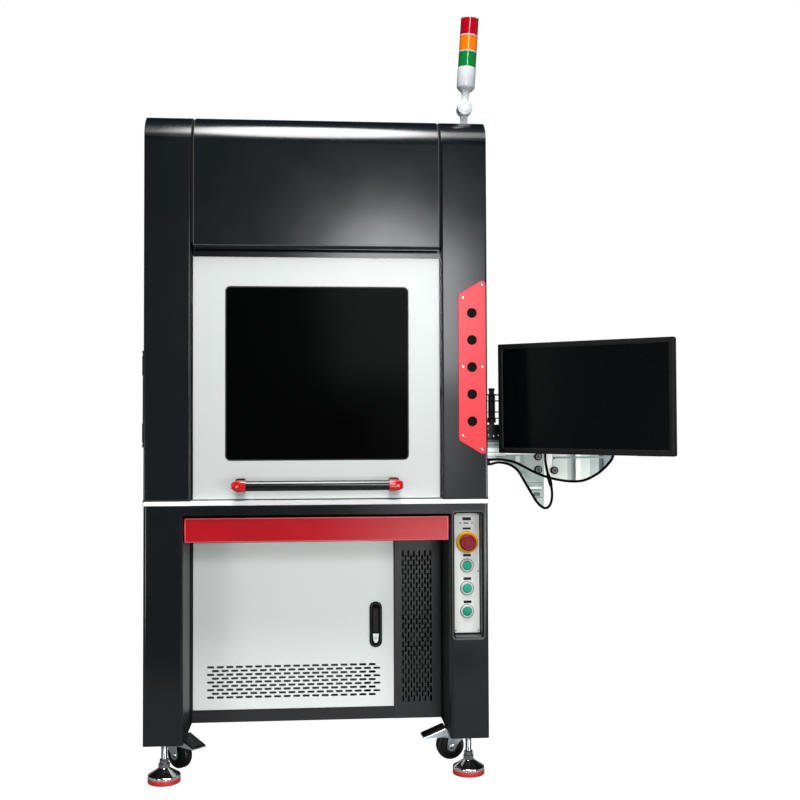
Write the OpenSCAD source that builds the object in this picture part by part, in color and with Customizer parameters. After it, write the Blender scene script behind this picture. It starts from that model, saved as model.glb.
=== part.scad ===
// Enclosed laser welding machine: a floor-standing cabinet with a lift door,
// a keyboard drawer, a recessed equipment cabinet, a control panel in the
// right-hand leg, a stack light and a monitor on a swing arm.
// The machine frame has X across (0 at the middle), Y into the depth
// (0 at the front face) and Z up (0 on the floor).

/* [Overall] */
// Width over the side walls
body_w = 900; // [880:10:940]
// Depth of the machine body
body_d = 1000; // [950:10:1100]
// Height of the roof above the floor
body_h = 1751; // [1700:1:1800]
// Height of the base, under the table plate
base_h = 720; // [715:1:725]
// Ground clearance under the base
clear_h = 104; // [102:1:108]
// Thickness of the table plate
plate_t = 12; // [10:1:14]
// Sheet-metal thickness of the housings
wall = 3; // [2:0.5:4]

/* [Upper enclosure] */
// Half the distance between the two front columns
col_in = 329; // [327:1:331]
// Depth of the front columns
col_d = 220; // [200:5:240]
// Radius of the front round-over under the roof
round_r = 80; // [60:5:100]
// Lower edge of the header panel
header_z = 1392; // [1388:1:1396]
// Gap between the header panel and each column
seam = 5; // [2:0.5:6]

/* [Lift door] */
// Half width of the door panel
door_hw = 325; // [322:1:326]
// Top edge of the door panel
door_top = 1372; // [1360:1:1374]
// Half width of the window
win_hw = 241; // [220:1:250]
// Lower edge of the window
win_z0 = 836; // [820:1:850]
// Upper edge of the window
win_z1 = 1294; // [1280:1:1300]
// Height of the door handle
handle_z = 771; // [765:1:780]
// Length of the handle tube between its end brackets
handle_l = 373; // [340:1:400]

/* [Base] */
// Half the distance between the two legs
leg_in = 347.5; // [345:0.5:348]
// Distance of the cabinet front behind the front face
recess_y = 207; // [200:1:215]
// Right edge of the cabinet door
cdoor_x1 = 213; // [205:1:216]
// Lower edge of the cabinet door
cdoor_z0 = 143; // [140:0.5:145]
// Upper edge of the cabinet door
cdoor_z1 = 604; // [600:1:606]

/* [Vents] */
// Rows of slots in the cabinet door
vent_rows = 9; // [5:2:9]
// Slots in each long row
vent_n = 18; // [10:1:18]
// Slot columns in the grille
grille_cols = 11; // [7:2:11]
// Slots in each long grille column
grille_n = 17; // [10:1:17]

/* [Stack light] */
// Diameter of the lamp tower
lamp_d = 50; // [40:2:54]
// Height of one lens
lens_h = 41.5; // [36:0.5:44]
// Lean of the tower to the right
lamp_lean = 3.8; // [0:0.2:10]

/* [Monitor] */
// Width of the monitor
mon_w = 506; // [480:1:512]
// Height of the monitor
mon_h = 297.6; // [280:1:300]
// Turn of the monitor about the vertical, towards the operator
mon_yaw = -40.7; // [-45:0.1:-38]

/* [Feet and casters] */
// Diameter of a levelling foot
foot_d = 85; // [70:1:90]
// Diameter of a caster wheel
wheel_d = 76; // [72:1:78]
// Swivel angle of the left front caster
left_cast_a = -42; // [-50:1:-30]
// Swivel angle of the right front caster
right_cast_a = 186; // [180:1:190]

/* [Hidden] */
$fn = 48;

// The origin is under the middle of the machine's whole outline, so
// everything is moved from the machine frame by this much
shift = [-209, -386, 0];

hw = body_w / 2;
top0 = base_h + plate_t;      // top of the table plate
door_bot = top0 + 3;
leg_w = hw - leg_in;

// Control pocket in the right leg
pk_x0 = 355.7; pk_x1 = 437.9; pk_z0 = 364.3; pk_z1 = 697.9; pk_d = 35;
stop_c = [398, 615];
btn_x = 396.9;
btn_z = [552.7, 492.1, 431.4];

// Red plate on the right column
ap_x0 = 372.3; ap_x1 = 446; ap_zm = 1080.8;
hole_x = 408.5; hole_p = 71.9;

// Stack light pivot
lp = [406, 100, 1801];

// Monitor: centre of the front, arm post and tilt axis
mc = [685.6, -72.7, 997.1];
post = [495, 208];
arm_a = mon_yaw;
arm_l = 328;
mon_pitch = 1.35; mon_roll = 0.55;
tilt_back = 87.5;
// the tilt axis, and how far it lies beside the line of the arm
tilt_p = [mc[0] - tilt_back * sin(mon_yaw), mc[1] + tilt_back * cos(mon_yaw)];
pin_y = -(tilt_p[0] - post[0]) * sin(arm_a) + (tilt_p[1] - post[1]) * cos(arm_a);

// Feet and casters
foot_x = 400; foot_y = 45;
cast_x = 393; cast_y = 168; wheel_z = 43;
trail = 28;

function arc(cx, cy, r, a0, a1, n = 8) =
  [for (i = [0:n]) [cx + r * cos(a0 + (a1 - a0) * i / n), cy + r * sin(a0 + (a1 - a0) * i / n)]];
function rr(x0, y0, x1, y1, r, n = 6) =
  concat(arc(x1 - r, y1 - r, r, 0, 90, n), arc(x0 + r, y1 - r, r, 90, 180, n),
         arc(x0 + r, y0 + r, r, 180, 270, n), arc(x1 - r, y0 + r, r, 270, 360, n));

module at() translate(shift) children();
module box(x0, x1, y0, y1, z0, z1) translate([x0, y0, z0]) cube([x1 - x0, y1 - y0, z1 - z0]);
// Profile in X-Z drawn through y0..y1
module xz(y0, y1) translate([0, y1, 0]) rotate([90, 0, 0]) linear_extrude(y1 - y0) children();
// Profile in Y-Z drawn through x0..x1
module yz(x0, x1) translate([x0, 0, 0]) rotate([90, 0, 90]) linear_extrude(x1 - x0) children();
// Profile in X-Y drawn through z0..z1
module xy(z0, z1) translate([0, 0, z0]) linear_extrude(z1 - z0) children();
// Round bar along Y
module ycyl(x, z, r, y0, y1) translate([x, y0, z]) rotate([-90, 0, 0]) cylinder(r = r, h = y1 - y0);
module xcyl(y, z, r, x0, x1) translate([x0, y, z]) rotate([0, 90, 0]) cylinder(r = r, h = x1 - x0);

// ---------------------------------------------------------------- base

// One hollow leg box; s is -1 for the left one and 1 for the right one
module leg(s) {
  x0 = min(s * leg_in, s * hw); x1 = max(s * leg_in, s * hw);
  difference() {
    xy(clear_h, base_h) polygon(rr(x0, 0, x1, body_d, 8, 5));
    xy(clear_h + wall, base_h - wall) polygon(rr(x0 + wall, wall, x1 - wall, body_d - wall, 5, 5));
    // caster and foot studs come through the floor of the leg
    for (y = [foot_y, body_d - foot_y]) translate([s * foot_x, y, clear_h - 1]) cylinder(r = 8.5, h = wall + 2);
    if (s > 0) box(pk_x0, pk_x1, -1, wall + 1, pk_z0, pk_z1);
  }
}

// Tray that forms the recess for the control panel
module pocket() difference() {
  box(pk_x0 - 3, pk_x1 + 3, wall, pk_d + 6, pk_z0 - 3, pk_z1 + 3);
  box(pk_x0, pk_x1, -1, pk_d + 3, pk_z0, pk_z1);
  ycyl(stop_c[0], stop_c[1], 11.3, 0, pk_d + 10);
  for (z = btn_z) ycyl(btn_x, z, 11.3, 0, pk_d + 10);
}

module base_frame() color([0.13, 0.14, 0.15]) at() {
  union() {
    leg(-1);
    leg(1);
    pocket();
    // rails under the table plate
    box(-leg_in - 9, leg_in + 9, 0, 43, 694, base_h);
    box(-leg_in, leg_in, body_d - 43, body_d - 3, 694, base_h);
    box(-leg_in, leg_in, 480, 520, 694, base_h);
    // fixed runners of the drawer
    for (s = [-1, 1]) box(min(s * 335, s * 349), max(s * 335, s * 349), 60, 470, 646, 664);
    // rear wall with exhaust slots
    difference() {
      box(-leg_in, leg_in, body_d - 6, body_d - 3, clear_h, 694);
      for (i = [0:11]) box(-260, -60, body_d - 8, body_d, 180 + 22 * i, 190 + 22 * i);
      for (i = [0:11]) box(60, 260, body_d - 8, body_d, 180 + 22 * i, 190 + 22 * i);
    }
  }
}

module cabinet_shell() color([0.16, 0.17, 0.17]) at() union() {
 door_pins(2.5);
 difference() {
  box(-leg_in, leg_in, recess_y, body_d - 6, 108, 612);
  // equipment bay behind the door
  box(-leg_in + 3.5, cdoor_x1 + 2, recess_y + 3, body_d + 1, 111, 609);
  // chiller bay behind the grille
  box(cdoor_x1 + 5, leg_in - 3.5, recess_y + 3, body_d + 1, 111, 609);
  // opening for the door, with a rebate that clears its turning edge
  box(-leg_in + 1, cdoor_x1 + 1, recess_y - 1, recess_y + 6, cdoor_z0 - 2, cdoor_z1 + 1);
  // opening behind the grille
  box(234, 326, recess_y - 1, recess_y + 4, 140, 590);
 }
}
// pivot pins of the cabinet door, top and bottom
module door_pins(r) for (z = [cdoor_z0 - 4, cdoor_z1 - 6]) translate([-338, recess_y + 1, z]) cylinder(r = r, h = 10);

module table_plate() color([0.93, 0.94, 0.93]) at()
  xy(base_h, top0) polygon(rr(-hw - 2, -2, hw + 2, body_d, 6, 5));

// ---------------------------------------------------------------- slots

function slot2(cx, cy, l, w) = let (r = w / 2, h = l / 2 - w / 2)
  concat([for (a = [-90:45:90]) [cx + h + r * cos(a), cy + r * sin(a)]],
         [for (a = [90:45:270]) [cx - h + r * cos(a), cy + r * sin(a)]]);
function slot2v(cx, cy, l, w) = let (r = w / 2, h = l / 2 - w / 2)
  concat([for (a = [0:45:180]) [cx + r * cos(a), cy + h + r * sin(a)]],
         [for (a = [180:45:360]) [cx + r * cos(a), cy - h + r * sin(a)]]);

module door_slots() for (j = [0:vent_rows - 1]) {
  odd = j % 2;
  for (i = [0:vent_n - 1])
    polygon(slot2(-294.7 + 26.3 * (i + odd / 2), 177.5 + 10.4 * j, 19.8, 4.8));
}

module grille_slots() for (j = [0:grille_cols - 1]) {
  odd = j % 2;
  for (i = [0:grille_n - 1 - odd])
    polygon(slot2v(239.3 + 7.86 * j, 162 + 25.3 * (i + odd / 2), 19.8, 5.8));
}

module grille_panel() color([0.1, 0.1, 0.11]) at()
  xz(recess_y - 2, recess_y) difference() {
    polygon([[cdoor_x1 + 5, 108], [leg_in - 0.5, 108], [leg_in - 0.5, 612], [cdoor_x1 + 5, 612]]);
    grille_slots();
  }

module cabinet_door() color([0.84, 0.88, 0.85]) at() {
  // folded pan: front sheet and four flanges
  difference() {
    box(-leg_in + 4.5, cdoor_x1, recess_y - 4, recess_y + 14, cdoor_z0, cdoor_z1);
    box(-leg_in + 6.5, cdoor_x1 - 2, recess_y - 2, recess_y + 20, cdoor_z0 + 2, cdoor_z1 - 2);
    xz(recess_y - 6, recess_y) door_slots();
    // cut-out for the lock
    box(149, 176, recess_y - 6, recess_y, 312, 431);
    door_pins(2.55);
  }
}

module cabinet_lock() color([0.07, 0.07, 0.08]) at() union() {
 xcyl(recess_y - 4, 415, 2, 151, 174);
 difference() {
  union() {
    xz(recess_y - 8, recess_y - 4) polygon(rr(145.3, 308, 180, 435, 10, 6));
    box(149.5, 175.5, recess_y - 4, recess_y + 12, 312.5, 430.5);
  }
  // hollow that the lever folds into
  box(153, 171.5, recess_y - 10, recess_y + 4, 348, 424);
 }
}

module lock_lever() color([0.2, 0.21, 0.22]) at() difference() {
  union() {
    box(154.5, 170, recess_y - 9, recess_y - 1, 350, 412);
    xcyl(recess_y - 4, 415, 5, 154.5, 170);
  }
  xcyl(recess_y - 4, 415, 2.05, 150, 175);
}

// ---------------------------------------------------------------- drawer

module drawer_front() color([0.78, 0.06, 0.08]) at() difference() {
  box(-leg_in + 2.5, leg_in - 2.5, 8, 24, 624, 687);
  box(-leg_in + 4.5, leg_in - 4.5, 10, 26, 626, 685);
}

module drawer_tray() color([0.12, 0.12, 0.13]) at() union() {
  difference() {
    box(-322, 322, 24, 440, 627, 684);
    box(-320, 320, 26, 438, 629, 700);
  }
  // runners on both sides
  for (s = [-1, 1]) box(min(s * 321, s * 334.7), max(s * 321, s * 334.7), 26, 440, 646, 664);
}

// ---------------------------------------------------------------- enclosure

module column_section(o) polygon(concat(
  [[o, top0 + o], [col_d - o, top0 + o], [col_d - o, body_h - o], [round_r, body_h - o]],
  arc(round_r, body_h - round_r, round_r - o, 90, 180, 24)));

module column(s) {
  x0 = min(s * col_in, s * hw); x1 = max(s * col_in, s * hw);
  difference() {
    intersection() {
      yz(x0, x1) column_section(0);
      xy(top0, body_h) polygon(rr(x0, 0, x1, col_d + 20, 5, 5));
    }
    yz(x0 + wall, x1 - wall) column_section(wall);
    children();
  }
}

// strip behind the seam between column and header, so no light gets out
module seam_strip(s) {
  x0 = min(s * (col_in - 8), s * (col_in + wall)); x1 = max(s * (col_in - 8), s * (col_in + wall));
  difference() {
    yz(x0, x1) column_section(4.2);
    yz(x0 - 1, x1 + 1) column_section(6.2);
    box(-hw, hw, -1, col_d + 1, 0, header_z + 12);
    box(-hw, hw, col_d - 12, col_d + 1, 0, body_h + 1);
  }
}

module left_column() color([0.12, 0.13, 0.14]) at() union() {
  seam_strip(-1);
  // opening behind the service hatch
  column(-1) box(-hw - 1, -hw + wall + 1, 45, 185, 885, 1115);
  // hinge pin of the hatch and its two holders
  translate([-hw - 3.6, 24, 877]) cylinder(r = 1.5, h = 242);
  for (z = [872, 1118]) box(-hw - 6, -hw + 1, 21.5, 26.5, z, z + 6);
}

module right_column() color([0.12, 0.13, 0.14]) at() union() {
  column(1) {
    // windows behind the holes of the red plate
    for (i = [-2:2]) ycyl(hole_x, ap_zm + hole_p * i, 16, -1, wall + 1);
    // slot for the lift arm of the door
    box(col_in - 1, col_in + wall + 1, 47, 61, 980, 1380);
  }
  seam_strip(1);
}

module header_panel() color([0.11, 0.12, 0.13]) at() difference() {
  yz(-col_in + seam, col_in - seam) polygon(concat(
    // the front sheet steps back into a lip above the door
    [[0, header_z + 7], [10, header_z + 7], [10, header_z], [16, header_z], [16, header_z + 3],
     [13, header_z + 3], [13, header_z + 10], [3, header_z + 10], [3, body_h - round_r]],
    arc(round_r, body_h - round_r, round_r - 3, 180, 90, 24),
    [[col_d, body_h - 3], [col_d, body_h], [round_r, body_h]],
    arc(round_r, body_h - round_r, round_r, 90, 180, 24)));
}

module enclosure_shell() color([0.14, 0.15, 0.15]) at() difference() {
  union() {
    difference() {
      box(-hw, hw, col_d, body_d, top0, body_h);
      box(-hw + wall, hw - wall, col_d - 1, body_d - wall, top0 - 1, body_h - wall);
    }
    // spigot for a fume hose
    translate([-200, 800, body_h - 1]) cylinder(r = 50, h = 61);
  }
  translate([-200, 800, body_h - 10]) cylinder(r = 47, h = 90);
}

module service_hatch() color([0.15, 0.16, 0.17]) at() union() {
  box(-hw - 3.5, -hw - 0.5, 30, 200, 870, 1130);
  // hinge knuckles on the front edge
  for (z = [885, 1061]) difference() {
    union() {
      translate([-hw - 3.6, 24, z]) cylinder(r = 3, h = 50);
      box(-hw - 3.5, -hw - 0.6, 25, 32, z, z + 50);
    }
    translate([-hw - 3.6, 24, z - 1]) cylinder(r = 1.55, h = 52);
  }
  // pull latch
  box(-hw - 6.5, -hw - 3.5, 172, 190, 975, 1025);
}

// ---------------------------------------------------------------- lift door

module door_panel() color([0.9, 0.92, 0.91]) at() difference() {
  box(-door_hw, door_hw, 18, 36, door_bot, door_top);
  box(-door_hw + 2, door_hw - 2, 20, 40, door_bot + 2, door_top - 2);
  xz(16, 22) polygon(rr(-win_hw, win_z0, win_hw, win_z1, 13, 8));
}

module door_window() color([0.02, 0.02, 0.02]) at() union() {
  xz(18.5, 20) polygon(rr(-win_hw + 0.5, win_z0 + 0.5, win_hw - 0.5, win_z1 - 0.5, 13, 8));
  xz(20, 26) polygon(rr(-win_hw - 10, win_z0 - 10, win_hw + 10, win_z1 + 10, 14, 8));
}

// Oval tube
module door_handle() color([0.06, 0.06, 0.07]) at()
  yz(-handle_l / 2, handle_l / 2) polygon([for (a = [0:15:345]) [-22 + 11 * cos(a), handle_z + 13.5 * sin(a)]]);

module handle_ends() color([0.8, 0.05, 0.07]) at() for (s = [-1, 1]) {
  x0 = min(s * (handle_l / 2), s * (handle_l / 2 + 37)); x1 = max(s * (handle_l / 2), s * (handle_l / 2 + 37));
  union() {
    box(x0 + (s < 0 ? 8 : 0), x1 - (s > 0 ? 8 : 0), -37, -8, handle_z - 15.5, handle_z + 15.5);
    xz(-35, -8) polygon(rr(x0, handle_z - 14, x1, handle_z + 14, 12, 6));
    // foot that stands on the door
    box(x0 + 6, x1 - 6, -8, 18, handle_z - 12, handle_z + 12);
  }
}

module door_carriage() color([0.08, 0.08, 0.09]) at() union() {
  difference() {
    box(-door_hw, door_hw, 36, 50, door_bot + 2, header_z + 8);
    box(-door_hw + 24, door_hw - 24, 35, 51, door_bot + 30, door_top - 40);
  }
  // bearing blocks that run on the two rails
  for (s = [-1, 1]) for (z = [800, 1250]) difference() {
    box(min(s * 297, s * 323), max(s * 297, s * 323), 50, 74, z, z + 70);
    box(min(s * 302.5, s * 317.5), max(s * 302.5, s * 317.5), 59.5, 80, z - 1, z + 71);
  }
  // lift arm into the column and its key in the cylinder's slot
  box(306, 349, 49, 58, 1005, 1025);
  box(341, 349, 50, 100, 1005, 1025);
  box(348, 355.5, 89, 93, 1007, 1023);
}

module door_rails() color([0.62, 0.64, 0.65]) at() for (s = [-1, 1]) union() {
  box(min(s * 303, s * 317), max(s * 303, s * 317), 60, 75, 740, 1725);
  // angle that carries the rail on the column
  box(min(s * 303, s * 329), max(s * 303, s * 329), 75, 78, 740, 1725);
}

module lift_cylinder() color([0.6, 0.62, 0.63]) at() union() {
  difference() {
    box(353, 387, 76, 110, 820, 1480);
    box(352, 356, 88, 94, 850, 1450);
  }
  box(349, 391, 72, 114, 800, 820);
  box(349, 391, 72, 114, 1480, 1500);
  // brackets to the column's outer wall
  box(391, hw - wall, 85, 101, 803, 817);
  box(391, hw - wall, 85, 101, 1483, 1497);
}

// ---------------------------------------------------------------- controls

module control_plate() color([0.9, 0.91, 0.9]) at() difference() {
  xz(pk_d + 1, pk_d + 3) polygon(rr(pk_x0 + 8, pk_z0 + 10.5, pk_x1 - 7.3, pk_z1 - 6, 2, 3));
  ycyl(stop_c[0], stop_c[1], 11.3, 0, pk_d + 10);
  for (z = btn_z) ycyl(btn_x, z, 11.3, 0, pk_d + 10);
}

module stop_collar() color([0.93, 0.68, 0.08]) at() difference() {
  union() {
    ycyl(stop_c[0], stop_c[1], 30, pk_d - 2, pk_d + 1);
    ycyl(stop_c[0], stop_c[1], 26, pk_d - 7, pk_d - 2);
    // threaded body and contact block
    ycyl(stop_c[0], stop_c[1], 11, pk_d + 1, pk_d + 22);
    box(stop_c[0] - 15, stop_c[0] + 15, pk_d + 20, pk_d + 55, stop_c[1] - 20, stop_c[1] + 20);
  }
  ycyl(stop_c[0], stop_c[1], 8, pk_d - 10, pk_d + 19);
}

module stop_button() color([0.72, 0.07, 0.1]) at() union() {
  ycyl(stop_c[0], stop_c[1], 7.95, pk_d - 14, pk_d + 12);
  translate([stop_c[0], pk_d - 14, stop_c[1]]) rotate([90, 0, 0]) rotate_extrude()
    polygon(concat([[0, 0], [17, 0]], arc(17, 5, 5, -90, 0, 5), arc(14, 8, 8, 0, 70, 6), [[0, 17.5]]));
}

module button_bezels() color([0.78, 0.79, 0.79]) at() for (z = btn_z) difference() {
  union() {
    ycyl(btn_x, z, 17.5, pk_d - 1, pk_d + 1);
    ycyl(btn_x, z, 15, pk_d - 6, pk_d - 1);
    ycyl(btn_x, z, 11, pk_d + 1, pk_d + 22);
    box(btn_x - 14, btn_x + 14, pk_d + 20, pk_d + 50, z - 15, z + 15);
  }
  ycyl(btn_x, z, 12.6, pk_d - 10, pk_d - 1);
  ycyl(btn_x, z, 8, pk_d - 10, pk_d + 17);
}

module button_cap(z) union() {
  ycyl(btn_x, z, 12.5, pk_d - 8, pk_d - 4.2);
  ycyl(btn_x, z, 7.95, pk_d - 4.2, pk_d + 10);
}
module upper_button() color([0.07, 0.7, 0.53]) at() button_cap(btn_z[0]);
module middle_button() color([0.07, 0.7, 0.53]) at() button_cap(btn_z[1]);
module lower_button() color([0.05, 0.6, 0.45]) at() button_cap(btn_z[2]);

// Red plate with five round holes on the right column
module accent_plate() color([0.93, 0.2, 0.25]) at() xz(-3, 0) difference() {
  polygon(concat(
    arc(ap_x1 - 10, ap_zm + 220.5, 10, 0, 122, 6), arc(ap_x0 + 10, ap_zm + 188, 10, 122, 180, 4),
    arc(ap_x0 + 10, ap_zm - 188, 10, 180, 238, 4), arc(ap_x1 - 10, ap_zm - 220.5, 10, 238, 360, 6)));
  for (i = [-2:2]) translate([hole_x, ap_zm + hole_p * i]) circle(r = 13.3);
}

// ---------------------------------------------------------------- stack light

module lamp_foot() color([0.93, 0.94, 0.94]) at() difference() {
  union() {
    translate([lp[0], lp[1] + 9, body_h]) cylinder(r = 22, h = 3);
    box(lp[0] - 9.5, lp[0] + 9.5, lp[1] + 1, lp[1] + 17, body_h + 3, lp[2]);
    ycyl(lp[0], lp[2], 20.5, lp[1] + 1, lp[1] + 17);
  }
  ycyl(lp[0], lp[2], 4, lp[1] - 5, lp[1] + 20);
}

// Everything above the pivot leans with it
module lean() translate(lp) rotate([0, lamp_lean, 0]) children();

module lamp_base() color([0.93, 0.94, 0.94]) at() lean() union() {
  translate([0, -15, 0]) rotate([-90, 0, 0]) cylinder(r = 20.5, h = 15);
  translate([-10.5, -15, 0]) cube([21, 15, 44]);
  translate([0, 0, 40]) cylinder(r = 14, h = 10);
  translate([0, 0, 50]) cylinder(r1 = 19, r2 = lamp_d / 2, h = 6);
  translate([0, 0, 56]) cylinder(r = lamp_d / 2, h = 57);
  // pivot bolt
  translate([0, -17, 0]) rotate([-90, 0, 0]) cylinder(r = 3.95, h = 32);
}

module lens(i, more = 0) lean() translate([0, 0, 113 + i * (lens_h + 3.5)]) union() {
  translate([0, 0, 0.2]) cylinder(r = lamp_d / 2 - 0.6, h = lens_h + more);
  // collar between the lenses
  translate([0, 0, lens_h + more + 0.2]) cylinder(r = lamp_d / 2, h = 3.2);
}
module lamp_green() color([0.0, 0.55, 0.25]) at() lens(0);
module lamp_orange() color([1.0, 0.5, 0.0]) at() lens(1);
module lamp_red() color([0.85, 0.0, 0.08]) at() lens(2, 4);
module lamp_cap() color([0.95, 0.96, 0.96]) at() lean()
  translate([0, 0, 117 + 3 * (lens_h + 3.5) + 0.1]) cylinder(r1 = lamp_d / 2, r2 = lamp_d / 2 - 4, h = 5);

// ---------------------------------------------------------------- monitor

// Silver arm and hanger on the machine's right side
module side_bracket() color([0.68, 0.72, 0.69]) at() union() {
  // flange on the side wall
  box(hw, hw + 8, 180, 300, 760, 900);
  // beam with grooves along its faces
  difference() {
    box(hw + 6, 530, 188, 228, 840, 885);
    box(hw + 12, 540, 186, 192, 861, 869);
    box(hw + 12, 540, 224, 230, 861, 869);
  }
  // gusset
  xz(190, 198) polygon([[hw + 4, 842], [640.9, 842], [640.9, 693.7], [632.9, 697.8], [618, 713.4], [604.4, 735.6], [592, 756.6], [580.1, 777], [569.3, 795.2], [557.9, 807.4], [535.7, 822], [515.7, 827.8], [hw + 4, 828]]);
  box(hw + 4, 660, 195, 232, 833, 841);
  // hanger block with a swept lower edge
  xz(193, 236) polygon([[636.9, 838], [636.9, 778], [656, 777.2], [680, 772.5], [700, 769], [719, 767.1], [738, 767.6], [758, 770.8], [777, 779.2], [796, 789.6], [811, 798.9], [826, 813], [838, 827.2], [843, 835.7], [843, 838]]);
}

module arm_post() color([0.07, 0.07, 0.08]) at() union() {
  translate([post[0], post[1], 929]) cylinder(r = 7.5, h = 101);
  // wedge bracket on the beam
  xz(post[1] - 12, post[1] + 12) polygon([[hw + 12, 885], [529, 885], [529, 893], [514, 929], [480, 929], [hw + 12, 905]]);
  // collar under the arm and cap over it
  translate([post[0], post[1], 935]) cylinder(r = 12, h = 10.9);
  translate([post[0], post[1], 1028]) cylinder(r = 9, h = 5);
}

// Four thin plates between a hub and an end block, with the tilt pin at the end
module swing_arm() color([0.08, 0.08, 0.09]) at() translate([post[0], post[1], 0]) rotate([0, 0, arm_a]) {
  union() {
    for (z = [946, 963.5, 995, 1012]) difference() {
      translate([0, -12, z]) cube([arm_l - 50, 24, 3]);
      translate([0, 0, z - 1]) cylinder(r = 14, h = 5);
    }
    difference() {
      translate([0, 0, 946]) cylinder(r = 14.5, h = 69);
      translate([0, 0, 940]) cylinder(r = 7.55, h = 80);
    }
    translate([arm_l - 60, -14, 945]) cube([18, 28, 71]);
    translate([arm_l - 50, pin_y, mc[2]]) rotate([0, 90, 0]) cylinder(r = 5, h = 72);
    // clips that take the two leads
    translate([164, -10, 936.25]) cube([14, 16, 10.75]);
    translate([arm_l - 60, -2, 936.25]) cube([106, 16, 9.25]);
  }
}

// Frame of the monitor: X across, -Y out of the screen, Z up, 0 at the middle of the front
module mon_yawed() translate(mc) rotate([0, 0, mon_yaw]) children();
module mon() mon_yawed() rotate([mon_pitch, mon_roll, 0]) children();

module monitor_housing() color([0.09, 0.09, 0.1]) at() union() {
  mon() {
    difference() {
      translate([-mon_w / 2, 0, -mon_h / 2]) cube([mon_w, 18, mon_h]);
      translate([-mon_w / 2 + 14.5, -1, -mon_h / 2 + 15]) cube([mon_w - 29, 5, mon_h - 29.5]);
    }
    translate([-170, 17, -110]) cube([340, 23, 220]);
    translate([-60, 39, -60]) cube([120, 6, 120]);
  }
  // clevis for the tilt pin
  mon_yawed() for (x = [-38, 6]) difference() {
    union() {
      translate([x, 40, -14]) cube([12, tilt_back - 40, 28]);
      translate([x, tilt_back, 0]) rotate([0, 90, 0]) cylinder(r = 14, h = 12);
    }
    translate([x - 1, tilt_back, 0]) rotate([0, 90, 0]) cylinder(r = 5.05, h = 14);
  }
}

module monitor_screen() color([0.01, 0.01, 0.01]) at() mon()
  translate([-mon_w / 2 + 15, 2, -mon_h / 2 + 15.5]) cube([mon_w - 30, 2, mon_h - 30.5]);

// ---------------------------------------------------------------- leads

// Tube of radius r along points p
function unit(v) = v / norm(v);
function cr_pt(p0, p1, p2, p3, t) = 0.5 * ((2 * p1) + (p2 - p0) * t + (2 * p0 - 5 * p1 + 4 * p2 - p3) * t * t + (3 * p1 - p0 - 3 * p2 + p3) * t * t * t);
function spline(p, n) = let (m = len(p)) concat(
  [for (i = [0:m - 2]) for (k = [0:n - 1])
    cr_pt(p[max(i - 1, 0)], p[i], p[i + 1], p[min(i + 2, m - 1)], k / n)], [p[m - 1]]);
function tangents(p) = let (m = len(p)) [for (i = [0:m - 1]) unit(p[min(i + 1, m - 1)] - p[max(i - 1, 0)])];
// frames carried along without twist
function carry(t, i, u) = i == 0 ? [u] : let (prev = carry(t, i - 1, u), q = prev[len(prev) - 1])
  concat(prev, [unit(q - (q * t[i]) * t[i])]);
module tube(p, r, k = 8) {
  m = len(p); t = tangents(p);
  u0 = unit(cross(t[0], [0.1, 0.2, 1]));
  u = carry(t, m - 1, u0);
  pts = [for (i = [0:m - 1]) let (v = cross(t[i], u[i])) for (j = [0:k - 1])
    p[i] + r * cos(360 * j / k) * u[i] + r * sin(360 * j / k) * v];
  faces = concat([[for (j = [0:k - 1]) j]],
    [for (i = [0:m - 2]) for (j = [0:k - 1]) [i * k + j, (i + 1) * k + j, (i + 1) * k + (j + 1) % k]],
    [for (i = [0:m - 2]) for (j = [0:k - 1]) [i * k + j, (i + 1) * k + (j + 1) % k, i * k + (j + 1) % k]],
    [[for (j = [k - 1:-1:0]) (m - 1) * k + j]]);
  polyhedron(pts, faces);
}

lead_a = [[468, 150, 831], [482, 150, 831], [503.6, 143, 831.8], [532.4, 137, 828.4],
  [557.1, 134, 819.8], [590.2, 124, 801.6], [624.6, 111, 786.2], [658.2, 95, 777],
  [691.1, 76, 772.9], [722.1, 52, 776.7], [751.1, 22, 795.6], [770.6, 0, 817.9],
  [781, -20, 839.7], [782, -28, 868], [778, -28, 900], [776, -28, 936]];
lead_b = [[468, 150, 819], [482, 150, 819], [503.6, 149, 823.7], [530.9, 144, 818.7],
  [547.5, 136, 808.5], [557.7, 129, 796.7], [567.5, 125, 779.1], [578.3, 121, 759.3],
  [589.5, 116, 739], [601.5, 110, 717.8], [614.5, 103, 703], [626, 97, 699.2],
  [635.6, 92, 707.1], [640.6, 89, 725.3], [640.6, 88, 748.9], [635.4, 89, 773.6],
  [629.6, 91, 796.8], [624.4, 93, 828.3], [624, 94, 860], [624, 94, 890], [623, 94, 936]];

// radius of both leads
lead_r = 3.6;
module signal_lead() color([0.03, 0.03, 0.03]) at() tube(spline(lead_a, 3), lead_r);
module power_lead() color([0.03, 0.03, 0.03]) at() tube(spline(lead_b, 3), lead_r);

module cable_gland() color([0.05, 0.05, 0.05]) at() union() {
  box(hw, hw + 4, 132, 168, 806, 844);
  for (z = [819, 831]) xcyl(150, z, 5.5, hw + 4, 468);
}

// ---------------------------------------------------------------- feet and casters

module foot(x, y) translate([x, y, 0]) union() {
  // rubber pad, steel cup, neck and stud
  cylinder(r = foot_d / 2, h = 12.5);
  translate([0, 0, 12.5]) cylinder(r = foot_d / 2 - 0.3, h = 8);
  translate([0, 0, 20.5]) cylinder(r1 = foot_d / 2 - 0.8, r2 = 14.5, h = 17.5);
  translate([0, 0, 38]) cylinder(r = 15.5, h = 12, $fn = 6);
  translate([0, 0, 50]) cylinder(r = 12, h = 10);
  translate([0, 0, 60]) cylinder(r = 8, h = 90);
  // lock nut on the floor of the leg
  translate([0, 0, clear_h + wall]) cylinder(r = 13.5, h = 12, $fn = 6);
}

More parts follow.
